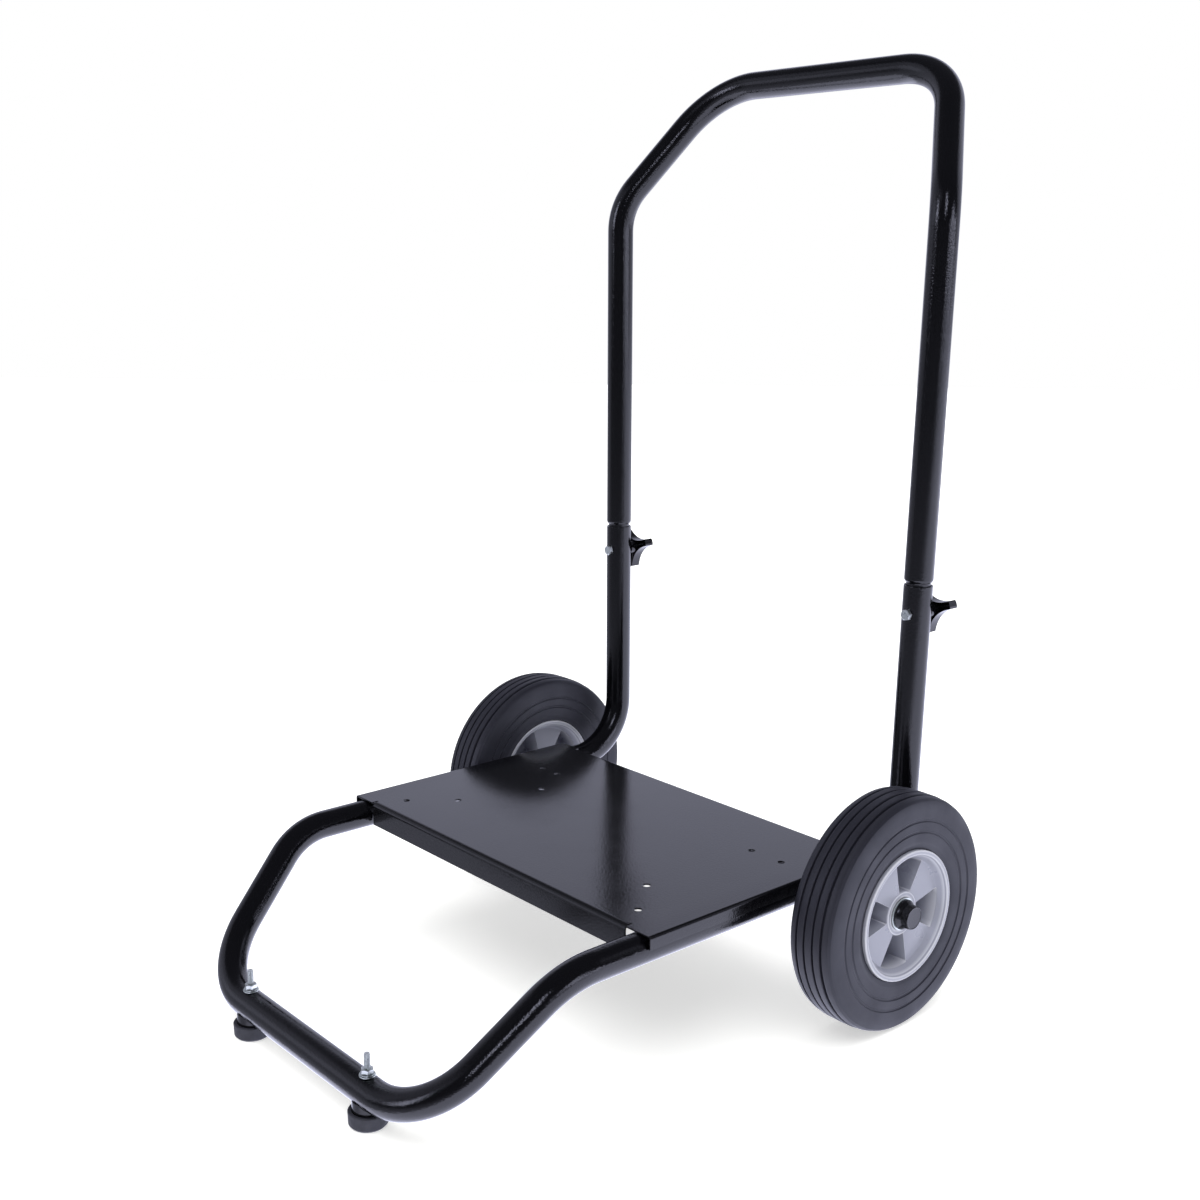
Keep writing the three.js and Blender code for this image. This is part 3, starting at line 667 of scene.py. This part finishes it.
def make_deck():
    """One folded sheet: a fold down each side, and a deeper lip in front and behind."""
    slot = LIP_FOLD_R + SHEET
    flange_low = DECK_Z - FLANGE_DEPTH
    lip_low = DECK_Z - LIP_DEPTH
    inner_x = DECK_X - FOLD_R
    xs = [-inner_x, -LIP_X - LIP_RELIEF, -LIP_X, LIP_X, LIP_X + LIP_RELIEF, inner_x]
    ys = [
        DECK_FRONT, DECK_FRONT + LIP_FOLD_R, DECK_FRONT + slot,
        DECK_REAR - slot, DECK_REAR - LIP_FOLD_R, DECK_REAR,
    ]
    bm = bmesh.new()
    known = {}

    def vert(x, y, z):
        key = (round(x, 3), round(y, 3), round(z, 3))
        if key not in known:
            known[key] = bm.verts.new(Vector(key) * MM)
        return known[key]

    def quad(*corners):
        bm.faces.new([vert(*c) for c in corners])

    for i in range(5):
        for j in range(5):
            in_slot = i in (1, 3) and j in (0, 1, 3, 4)
            in_lip = i == 2 and j in (0, 4)
            if not in_slot and not in_lip:
                quad((xs[i], ys[j], DECK_Z), (xs[i + 1], ys[j], DECK_Z),
                     (xs[i + 1], ys[j + 1], DECK_Z), (xs[i], ys[j + 1], DECK_Z))

    def fold(radius, steps=8):
        turns = [math.pi / 2 * k / steps for k in range(steps + 1)]
        return [(radius * math.sin(a), DECK_Z - radius + radius * math.cos(a)) for a in turns]

    for side in (-1, 1):
        strip = [(inner_x + out, z) for out, z in fold(FOLD_R)] + [(DECK_X, flange_low)]
        for (xa, za), (xb, zb) in zip(strip, strip[1:]):
            for ya, yb in zip(ys, ys[1:]):
                quad((side * xa, ya, za), (side * xb, ya, zb),
                     (side * xb, yb, zb), (side * xa, yb, za))
    for base, way in ((DECK_FRONT + LIP_FOLD_R, -1), (DECK_REAR - LIP_FOLD_R, 1)):
        strip = [(base + way * out, z) for out, z in fold(LIP_FOLD_R)]
        strip.append((base + way * LIP_FOLD_R, lip_low))
        for (ya, za), (yb, zb) in zip(strip, strip[1:]):
            quad((xs[2], ya, za), (xs[2], yb, zb), (xs[3], yb, zb), (xs[3], ya, za))
    bmesh.ops.recalc_face_normals(bm, faces=bm.faces)
    top = max(bm.faces, key=lambda f: f.calc_area())
    if top.normal.z < 0:
        bmesh.ops.reverse_faces(bm, faces=bm.faces)
    mesh = bpy.data.meshes.new("deck")
    bm.to_mesh(mesh)
    bm.free()
    sheet = bpy.data.objects.new("sheet", mesh)
    bpy.context.scene.collection.objects.link(sheet)
    modifier = sheet.modifiers.new("thick", "SOLIDIFY")
    modifier.thickness = SHEET * MM
    modifier.offset = -1.0
    modifier.use_even_offset = True
    mesh = applied(sheet)
    bpy.data.objects.remove(sheet)
    cutters = [
        cylinder("z", (x, AXLE_Y - ahead, DECK_Z), DECK_HOLE_R, -6.0, 6.0, 32)
        for x, ahead in DECK_HOLES
    ]
    mesh = combine(mesh, cutters, "DIFFERENCE")
    piece("deck_plate_visual", mesh, "deck_paint", "cart", "deck_plate", bevel=0.35)


# ---------------------------------------------------------------- brackets and welds
def bead(points, radius, seed):
    """A weld bead: overlapping ripples laid along a line, as one closed shell."""
    path = []
    for a, b in zip(points, points[1:]):
        a, b = Vector(a), Vector(b)
        steps = max(2, int((b - a).length / 0.7))
        path += [a.lerp(b, k / steps) for k in range(steps)]
    path.append(Vector(points[-1]))
    stations = []
    for i, p in enumerate(path):
        ahead = path[min(i + 1, len(path) - 1)] - path[max(i - 1, 0)]
        stations.append((p, ahead.normalized()))
    frames = ring_frames(stations)
    rings = []
    for i, ((p, _), (a, b)) in enumerate(zip(stations, frames)):
        ripple = 1.0 + 0.16 * math.sin(i * 1.35 + seed) + 0.07 * math.sin(i * 0.47 + 2.1 * seed)
        end = min(1.0, 0.35 + 0.3 * min(i, len(stations) - 1 - i))
        r = radius * ripple * end
        angles = [2 * math.pi * k / 10 for k in range(10)]
        rings.append([tuple(p + (a * math.cos(t) + b * math.sin(t)) * r) for t in angles])
    return Shell().rings(rings, cap=True)


def make_brackets():
    """The axle brackets under the rails, and the beads that hold them and the deck."""
    width, thick = 18.0, 3.0  # half the bracket's width and thickness
    for name, side in SIDES:
        x = side * RAIL_X
        top = RAIL_Z - TUBE_R - GAP
        arc = [math.radians(180 + 180 * k / 20) for k in range(21)]
        outline = [(-width, top - AXLE_Z)]
        outline += [(width * math.cos(a), width * math.sin(a)) for a in arc]
        outline.append((width, top - AXLE_Z))
        plate = prism(outline, "x", -thick, thick, (x, AXLE_Y, AXLE_Z)).mesh()
        hole = cylinder("x", (x, AXLE_Y, AXLE_Z), AXLE_HOLE_R, -8.0, 8.0, 40)
        mesh = combine(plate, [hole], "DIFFERENCE")
        piece(f"axle_bracket_{name}_visual", mesh, "frame_paint", "cart",
              f"axle_bracket_{name}", bevel=0.6, segments=3)
        for tag, way in (("outer", 1), ("inner", -1)):
            line = [(x + way * 3.6, AXLE_Y + end, top - 0.6) for end in (-17, 17)]
            mesh = bead(line, 1.9, 0.7 + way + side).mesh()
            piece(f"weld_bracket_{tag}_{name}", mesh, "frame_paint", "cart")
        for k, y in enumerate((-70.0, 20.0, 110.0)):
            line = [(side * (RAIL_X - 6.5), y + end, DECK_Z - 3.6) for end in (-14, 14)]
            mesh = bead(line, 1.7, k + side).mesh()
            piece(f"weld_deck_{k}_{name}", mesh, "frame_paint", "cart")


# ---------------------------------------------------------------- fasteners
KNOB_BOLT_HEAD, KNOB_BOLT_THREAD, KNOB_BOLT_END = 4.2, 33.0, 50.8
KNOB_NEAR, KNOB_FAR = 8.0, 21.0  # the lobes' faces, from the back of the upright
KNOB_HUB_R, KNOB_BORE_R = 8.5, 5.8
INSERT_R, INSERT_END = 5.5, 19.0
STUD_HEAD, STUD_HEAD_TOP, STUD_THREAD = 2.8, 6.8, 48.0
WASHER_R, WASHER_THICK = 8.0, 1.3
NUT_THICK, NUT_FLANGE_R = 6.0, 7.2


def hex_head(axis, low, high, centre, turn, chamfer_high=True):
    """A hexagon with its corners turned off on the free end."""
    block = prism(hexagon(HEX_AF, turn), axis, low, high, centre).mesh()
    corner = HEX_AF / math.sqrt(3)
    face = HEX_AF / 2 * 0.95
    wide, edge, drop = corner + 1, corner + 0.05, 0.75
    if chamfer_high:
        rims = [(0.0, low), (wide, low), (edge, high - drop), (face, high), (0.0, high)]
    else:
        rims = [(0.0, low), (face, low), (edge, low + drop), (wide, high), (0.0, high)]
    cone = turned(rims, axis, centre, 48, rounding=0.0).mesh()
    return combine(block, [cone], "INTERSECT")


def make_knob_sets():
    """Each knob with its insert, and the bolt that it turns on."""
    seat = UPRIGHT_Y - TUBE_R - GAP
    front = UPRIGHT_Y + TUBE_R + GAP
    for name, side in SIDES:
        centre = (side * upright_x(KNOB_Z), 0.0, KNOB_Z)
        head = hex_head("y", seat - KNOB_BOLT_HEAD, seat, centre, 12.0 * side, chamfer_high=False)
        rod = cylinder("y", centre, BOLT_R, seat - 1, seat + KNOB_BOLT_THREAD + 1)
        tail = threaded(seat + KNOB_BOLT_THREAD, seat + KNOB_BOLT_END, centre, "y").mesh()
        mesh = combine(head, [rod, tail], "UNION")
        piece(f"knob_bolt_{name}_visual", mesh, "zinc", "cart", f"knob_bolt_{name}", sharp=28.0)
        ends = (front + 0.2, front + INSERT_END)
        sleeve = collar("y", centre, (BOLT_R + GAP, INSERT_R), ends, 40, 0.3).mesh()
        piece(f"knob_insert_{name}_visual", sleeve, "brass", f"knob_{name}", f"knob_insert_{name}")
        piece(f"knob_{name}_visual", knob_mesh(centre, front), "black_plastic", f"knob_{name}",
              f"knob_{name}", bevel=0.55, segments=3)


def knob_outline(turn, tip=4.5, reach=27.0, waist=3.5):
    """Three lobes with rounded tips and hollow sides between them."""
    points = []
    for lobe in range(3):
        angle = math.radians(turn + 120 * lobe)
        out = Vector((math.cos(angle), math.sin(angle)))
        across = Vector((-out.y, out.x))
        following = math.radians(turn + 120 * (lobe + 1))
        out_next = Vector((math.cos(following), math.sin(following)))
        across_next = Vector((-out_next.y, out_next.x))
        crown = 1.1
        for k in range(-3, 4):
            u = k / 3
            points.append(out * (reach - crown * u ** 4) + across * tip * u)
        start = out * (reach - crown) + across * tip
        goal = out_next * (reach - crown) - across_next * tip
        middle = Vector((math.cos(angle + math.pi / 3), math.sin(angle + math.pi / 3))) * waist
        for k in range(1, 14):
            t = k / 14
            points.append(start * (1 - t) ** 2 + middle * 2 * t * (1 - t) + goal * t ** 2)
    return [tuple(p) for p in points]


def knob_mesh(centre, front):
    """A star knob: lobes with a hollow near side and ribs, on a bored hub."""
    low, high = front + KNOB_NEAR, front + KNOB_FAR
    body = prism(knob_outline(KNOB_TURN), "y", low, high, centre).mesh()
    bm = bmesh.new()
    bm.from_mesh(body)
    near = min(bm.faces, key=lambda f: f.calc_center_median().y)
    bmesh.ops.inset_region(bm, faces=[near], thickness=1.9 * MM, use_even_offset=True)
    bmesh.ops.translate(bm, verts=near.verts, vec=(0.0, 9.5 * MM, 0.0))
    bm.to_mesh(body)
    bm.free()
    hub = cylinder("y", centre, KNOB_HUB_R, front, high - 2, 40)
    ribs = []
    for lobe in range(3):
        angle = math.radians(KNOB_TURN + 120 * lobe)
        out, across = (math.cos(angle), math.sin(angle)), (-math.sin(angle), math.cos(angle))
        corners = [(6, -0.8), (25.6, -0.8), (25.6, 0.8), (6, 0.8)]
        outline = [(out[0] * u + across[0] * v, out[1] * u + across[1] * v) for u, v in corners]
        ribs.append(prism(outline, "y", low + 2.5, high - 2, centre).mesh())
    body = combine(body, [hub] + ribs, "UNION")
    bore = cylinder("y", centre, KNOB_BORE_R, front - 1, front + INSERT_END + 0.5, 40)
    return combine(body, [bore], "DIFFERENCE")


def make_feet():
    """Each foot: rubber cup, saddle block, and the stud, washer and flange nut that clamp it."""
    clear = BOLT_R + GAP
    low = FRONT_Z + TUBE_R + GAP
    for name, side in SIDES:
        centre = (side * FOOT_X, FRONT_Y, 0.0)
        cup = turned([
            (clear + 0.1, 7.0), (8.5, 7.0), (8.5, 0.0), (17.0, 0.0), (19.1, 2.4), (19.6, 14.4),
            (18.9, FOOT_HEIGHT), (16.0, FOOT_HEIGHT), (16.0, FOOT_SEAT), (clear + 0.1, FOOT_SEAT),
        ], "z", centre, 64, rounding=0.6).mesh()
        piece(f"foot_{name}_visual", cup, "foot_rubber", "cart", f"foot_{name}")
        ends = (FOOT_SEAT + GAP, SADDLE_TOP)
        block = collar("z", centre, (clear + 0.1, 15.6), ends, 56, 0.5).mesh()
        bar = cylinder("x", (side * FOOT_X, FRONT_Y, FRONT_Z), TUBE_R + 0.36, -30.0, 30.0, 96)
        piece(f"foot_saddle_{name}_visual", combine(block, [bar], "DIFFERENCE"), "black_plastic",
              "cart", f"foot_saddle_{name}", bevel=0.4)
        head = hex_head("z", STUD_HEAD, STUD_HEAD_TOP, centre, 20.0, chamfer_high=False)
        rod = cylinder("z", centre, BOLT_R, 6.0, STUD_THREAD + 1)
        stud = threaded(STUD_THREAD, STUD_TOP, centre, "z").mesh()
        piece(f"foot_bolt_{name}_visual", combine(head, [rod, stud], "UNION"), "zinc", "cart",
              f"foot_bolt_{name}", sharp=28.0)
        ends = (low, low + WASHER_THICK)
        washer = collar("z", centre, (clear, WASHER_R), ends, 48, 0.35).mesh()
        piece(f"foot_washer_{name}_visual", washer, "zinc", "cart", f"foot_washer_{name}")
        base = low + WASHER_THICK + GAP
        nut = hex_head("z", base + 0.4, base + NUT_THICK, centre, 8.0 + 24 * side)
        flange = [(0.0, 0.0), (NUT_FLANGE_R, 0.0), (NUT_FLANGE_R, 0.9), (5.4, 2.3), (0.0, 2.3)]
        skirt = turned([(r, base + h) for r, h in flange], "z", centre, 48, rounding=0.3).mesh()
        hole = cylinder("z", centre, clear, base - 2, base + 9, 32)
        nut = combine(combine(nut, [skirt], "UNION"), [hole], "DIFFERENCE")
        piece(f"foot_nut_{name}_visual", nut, "zinc", "cart", f"foot_nut_{name}", sharp=28.0)


# ---------------------------------------------------------------- axle line
ON_AXLE = (0.0, AXLE_Y, AXLE_Z)
BEARING_WIDTH = 12.0


def axle_ring(name, side, outer, low, high, slot, rounding=0.4):
    """A plain ring that sits on the axle."""
    mesh = collar("x", ON_AXLE, (AXLE_HOLE_R, outer), (low, high), 64, rounding).mesh(side)
    piece(f"{name}_visual", mesh, slot, "cart", name)


def make_bearing(place, name, side, low):
    """A sealed ball bearing in the wheel's hub: a ring with a shield sunk in each face."""
    face = [(8.04, 0.0), (11.0, 0.0), (11.2, 0.7), (14.6, 0.7), (14.8, 0.0), (17.45, 0.0)]
    back = [(r, BEARING_WIDTH - h) for r, h in reversed(face)]
    profile = [(r, low + h) for r, h in face + back]
    mesh = turned(profile, "x", ON_AXLE, 64, rounding=0.3).mesh(side)
    label = f"bearing_{place}_{name}"
    piece(f"{label}_visual", mesh, "steel", f"wheel_{name}", label)


def make_axle_cap(name, side):
    """The domed cap that closes the end of the axle."""
    base, seat = HUB_OUTER + 2.2, AXLE_END_X + GAP
    inside = [(0.0, seat), (AXLE_HOLE_R, seat), (AXLE_HOLE_R, base + 1.9), (12.4, base + 1.9)]
    skirt = [(12.4, base), (16.4, base), (16.4, base + 1.7), (14.9, base + 3.4)]
    dome = [
        (13.4, base + 6.5), (12.8, 330.4), (12.4, 331.8),
        (11.6, 332.3), (10.9, 331.8), (0.0, 331.6),
    ]
    cap = turned(inside + skirt + dome, "x", ON_AXLE, 64, rounding=0.7).mesh(side)
    piece(f"axle_cap_{name}_visual", cap, "black_plastic", "cart", f"axle_cap_{name}")


def make_axle_line():
    """The axle and everything on it except the tyres and wheel centres."""
    end = [(AXLE_R, AXLE_END_X - 1.0), (6.9, AXLE_END_X), (0.0, AXLE_END_X)]
    profile = [(r, -x) for r, x in reversed(end)] + end
    rod = turned(profile, "x", ON_AXLE, 48, rounding=0.3).mesh()
    piece("axle_visual", rod, "steel", "cart", "axle")
    for name, side in SIDES:
        axle_ring(f"axle_spacer_{name}", side, 10.0, 241.3, 260.7, "steel")
        axle_ring(f"washer_inner_{name}", side, 16.0, 261.0, HUB_INNER - GAP, "zinc")
        axle_ring(f"washer_outer_{name}", side, 17.8, HUB_OUTER + GAP, 317.9, "zinc")
        axle_ring(f"push_nut_{name}", side, 11.7, 318.3, 319.5, "steel", 0.2)
        make_bearing("inner", name, side, HUB_INNER + 0.5)
        make_bearing("outer", name, side, HUB_OUTER - 0.5 - BEARING_WIDTH)
        make_axle_cap(name, side)


# ---------------------------------------------------------------- wheels
RIM_X = 298.8


def tyre_half():
    """Half of the tyre's section, from the middle of the tread to the bead: (radius, offset)."""
    return [
        (129.0, 0.0), (129.0, 3.4), (128.7, 4.2), (125.8, 4.5), (125.8, 6.5), (128.7, 6.9),
        (128.9, 8.0), (128.8, 13.4), (128.4, 14.5), (125.2, 15.0), (125.2, 17.2), (128.0, 17.7),
        (127.9, 20.0), (126.6, 23.9), (124.4, 26.4), (121.0, 27.5), (116.0, 28.1),
        (109.0, 28.3), (105.4, 28.2), (104.5, 27.2), (102.9, 27.1), (101.8, 27.9), (98.0, 27.9),
        (93.4, 27.7), (92.4, 26.7), (90.8, 26.6), (89.6, 27.4), (82.0, 27.0), (78.4, 26.6),
        (76.6, 25.8), (74.0, 25.4), (72.1, 24.6),
    ]


def make_tyre(name, side):
    """A solid tyre with ribbed tread and raised rings on its sidewalls."""
    half = tyre_half()
    profile = [(r, WHEEL_X + o) for r, o in half]
    profile += [(r, WHEEL_X - o) for r, o in reversed(half[1:])]
    mesh = turned(profile, "x", ON_AXLE, 144, rounding=0.45).mesh(side)
    piece(f"tyre_{name}_visual", mesh, "tyre_rubber", f"wheel_{name}", f"tyre_{name}", sharp=60.0)


def make_rim(name, side):
    """The wheel's centre: four plates at the outer face, four at the inner, and radial walls."""
    pocket, wall, draft = 43.0, 2.0, 0.9  # degrees
    first = 81.0 - pocket / 2
    inset = wall + pocket
    outer_floor, inner_floor = 285.6, 312.0
    lines = []
    for start in (0.0, inset):
        steps = 7
        inner = [start + draft + (pocket - 2 * draft) * k / steps for k in range(steps + 1)]
        lines += [start] + inner + [start + pocket]
    angles = [first + 90 * q + a for q in range(4) for a in lines]

    def depth_at(angle, radius, start):
        """How far into a pocket this vertex lies: 0 on its rim or outside, 1 on its floor."""
        local = (angle - first - start) % 90.0
        inside = draft - 0.01 <= local <= pocket - draft + 0.01
        return 1.0 if inside and 25.5 <= radius <= 59.4 else 0.0

    flank = [  # both faces, from the edge in to the hub: (radius, distance from the middle)
        (71.8, 24.8), (71.5, 25.9), (70.6, 26.45), (69.0, 26.5), (67.6, 26.4), (66.7, 25.9),
        (66.3, 24.8), (66.0, 24.1), (65.2, 23.7), (62.8, 20.4), (61.0, 17.5), (60.2, 16.4),
    ] + [(radius, 16.2) for radius in (59.4, 58.2, 49.0, 38.0, 27.0, 25.5)]
    front = [(radius, RIM_X + out) for radius, out in flank] + [
        (24.4, 315.0), (23.9, 315.15), (23.7, 315.6), (23.2, HUB_OUTER), (21.5, HUB_OUTER),
        (18.4, HUB_OUTER), (17.75, HUB_OUTER - 0.6),
    ]
    back = [(radius, RIM_X - out) for radius, out in flank] + [
        (24.4, 282.4), (23.9, 281.6), (23.7, 280.0), (23.6, 265.0), (22.8, 263.5),
        (18.4, HUB_INNER), (17.75, HUB_INNER + 0.6),
    ]

    def ring(radius, x, start, floor):
        out = []
        for angle in angles:
            depth = depth_at(angle, radius, start)
            a = math.radians(angle)
            along, up = radius * math.cos(a), radius * math.sin(a)
            out.append((x + (floor - x) * depth, AXLE_Y + along, AXLE_Z + up))
        return out

    loop = [ring(r, x, 0.0, outer_floor) for r, x in front]
    loop += [ring(r, x, inset, inner_floor) for r, x in reversed(back)]
    mesh = Shell().rings(loop, closed=True).mesh(side)
    bm = bmesh.new()
    bm.from_mesh(mesh)
    limit = math.radians(52)
    steep = [e for e in bm.edges if len(e.link_faces) == 2 and e.calc_face_angle(0.0) > limit]
    bmesh.ops.bevel(bm, geom=steep, offset=0.8 * MM, segments=3, profile=0.5,
                    affect="EDGES", clamp_overlap=True)
    bm.to_mesh(mesh)
    bm.free()
    piece(f"rim_{name}_visual", mesh, "rim_plastic", f"wheel_{name}", f"rim_{name}", sharp=50.0)


# ---------------------------------------------------------------- studio
def make_floor():
    """A pale floor; reflections take its brightness from the world instead."""
    mesh = bpy.data.meshes.new("floor")
    towards = Vector(TOWARDS_CAMERA)
    across = Vector(RIGHT_OF_CAMERA)
    near, far, wide = 6.0, -9.0, 9.0
    spots = ((near, -wide), (near, wide), (far, wide), (far, -wide))
    corners = [towards * u + across * v for u, v in spots]
    mesh.from_pydata(corners, [], [(0, 1, 2, 3)])
    floor = bpy.data.objects.new("floor", mesh)
    bpy.context.scene.collection.objects.link(floor)
    material = bpy.data.materials.new("pale_floor")
    material.use_nodes = True
    shader = material.node_tree.nodes["Principled BSDF"]
    shader.inputs["Base Color"].default_value = (0.86, 0.86, 0.85, 1.0)
    shader.inputs["Roughness"].default_value = 0.9
    shader.inputs["Specular IOR Level"].default_value = 0.1
    shader.inputs["Emission Color"].default_value = (1.0, 1.0, 0.985, 1.0)
    shader.inputs["Emission Strength"].default_value = 0.5
    mesh.materials.append(material)
    floor.visible_glossy = False


def make_world():
    """White for the camera, soft for diffuse light, and a dim studio for reflections."""
    world = bpy.data.worlds.new("studio")
    bpy.context.scene.world = world
    world.use_nodes = True
    tree = world.node_tree
    tree.nodes.clear()
    nodes, links = tree.nodes, tree.links

    def dot(direction):
        node = nodes.new("ShaderNodeVectorMath")
        node.operation = "DOT_PRODUCT"
        links.new(place.outputs["Generated"], node.inputs[0])
        node.inputs[1].default_value = direction
        return node.outputs["Value"]

    def spread(value, low, high, to_low, to_high):
        node = nodes.new("ShaderNodeMapRange")
        node.interpolation_type = "SMOOTHSTEP"
        for name, number in zip(RANGE_SOCKETS, (low, high, to_low, to_high)):
            node.inputs[name].default_value = number
        links.new(value, node.inputs["Value"])
        return node.outputs["Result"]

    def choose(factor, first, second):
        node = nodes.new("ShaderNodeMix")
        links.new(factor, node.inputs["Factor"])
        for slot, value in ((node.inputs["A"], first), (node.inputs["B"], second)):
            if isinstance(value, float):
                slot.default_value = value
            else:
                links.new(value, slot)
        return node.outputs["Result"]

    def combine_values(first, second, operation):
        node = nodes.new("ShaderNodeMath")
        node.operation = operation
        for slot, value in zip(node.inputs, (first, second)):
            if isinstance(value, float):
                slot.default_value = value
            else:
                links.new(value, slot)
        return node.outputs["Value"]

    def window(value, low, high, soft):
        rising = spread(value, low - soft, low + soft, 0.0, 1.0)
        falling = spread(value, high - soft, high + soft, 1.0, 0.0)
        return combine_values(rising, falling, "MULTIPLY")

    def panel(left, right, low, high, level, soft=0.05, soft_height=0.03):
        """A bright panel between two bearings (degrees, right of the camera) and two heights."""
        across = window(bearing, math.radians(left), math.radians(right), soft)
        up = window(height, low, high, soft_height)
        return combine_values(combine_values(across, up, "MULTIPLY"), level, "MULTIPLY")

    place = nodes.new("ShaderNodeTexCoord")
    path = nodes.new("ShaderNodeLightPath")
    camera_side = dot(TOWARDS_CAMERA)
    right_side = dot(RIGHT_OF_CAMERA)
    height = dot((0.0, 0.0, 1.0))
    bearing = combine_values(right_side, camera_side, "ARCTAN2")
    behind = spread(camera_side, -0.15, 0.2, 1.0, 0.0)
    rear_wall = spread(right_side, -0.9, 0.0, 0.48, 0.86)
    rear_wall = combine_values(rear_wall, behind, "MULTIPLY")
    rear_wall = combine_values(rear_wall, spread(height, 0.46, 0.7, 1.0, 0.05), "MULTIPLY")
    near_floor = spread(height, -0.42, 0.0, 0.62, 0.1)
    low_floor = spread(height, -0.9, -0.4, 0.35, 0.0)
    floor_light = combine_values(near_floor, low_floor, "ADD")
    slope = combine_values(right_side, combine_values(height, 3.5, "MULTIPLY"), "SUBTRACT")
    right_floor = spread(slope, 1.0, 1.2, 0.0, 2.1)
    right_floor = combine_values(right_floor, spread(height, -0.02, 0.04, 1.0, 0.0), "MULTIPLY")
    parts = [
        rear_wall, floor_light, right_floor,
        spread(height, 0.15, 0.8, 0.03, 0.07),  # dim ceiling
        panel(-125.0, -45.0, 0.42, 0.62, 0.45, 0.25, 0.08),  # wide and soft, high on the left
        panel(-116.0, -84.0, 0.02, 0.34, 0.85, 0.1),  # low on the left
        panel(-8.0, -1.0, 0.3, 0.62, 7.5),  # narrow lamp near the camera
        panel(-78.0, -64.0, 0.08, 0.4, 4.5),  # narrow lamp on the left
        panel(30.0, 82.0, 0.0, 0.1, 4.0, 0.08),  # long strip low on the right
        panel(42.0, 62.0, 0.08, 0.3, 3.0),  # lamp above the strip
    ]
    level = parts[0]
    for part in parts[1:]:
        level = combine_values(level, part, "MAXIMUM")
    diffuse_level, camera_level = 0.72, 1.0
    level = choose(path.outputs["Is Glossy Ray"], diffuse_level, level)
    level = choose(path.outputs["Is Camera Ray"], level, camera_level)
    tint = nodes.new("ShaderNodeMix")
    tint.data_type = "RGBA"
    links.new(path.outputs["Is Glossy Ray"], tint.inputs["Factor"])
    tint.inputs["A"].default_value = (1.0, 1.0, 1.0, 1.0)
    tint.inputs["B"].default_value = (0.85, 0.87, 1.1, 1.0)
    background = nodes.new("ShaderNodeBackground")
    links.new(tint.outputs["Result"], background.inputs["Color"])
    links.new(level, background.inputs["Strength"])
    output = nodes.new("ShaderNodeOutputWorld")
    links.new(background.outputs["Background"], output.inputs["Surface"])


def make_lights():
    """A broad soft sun from above: even light on the floor, faint shadows."""
    data = bpy.data.lights.new("overhead", "SUN")
    data.energy = 2.0
    data.angle = math.radians(60)
    sun = bpy.data.objects.new("overhead", data)
    sun.visible_glossy = False
    sun.rotation_mode = "QUATERNION"
    sun.rotation_quaternion = Vector((-0.15, 0.25, -1.0)).to_track_quat("-Z", "Y")
    bpy.context.scene.collection.objects.link(sun)


# ---------------------------------------------------------------- build
make_camera()
make_frame_tube()
make_handle_tube()
make_deck()
make_brackets()
make_knob_sets()
make_feet()
make_axle_line()
for wheel, way in SIDES:
    make_tyre(wheel, way)
    make_rim(wheel, way)
make_floor()
make_world()
make_lights()
bpy.context.scene.view_settings.view_transform = "Standard"
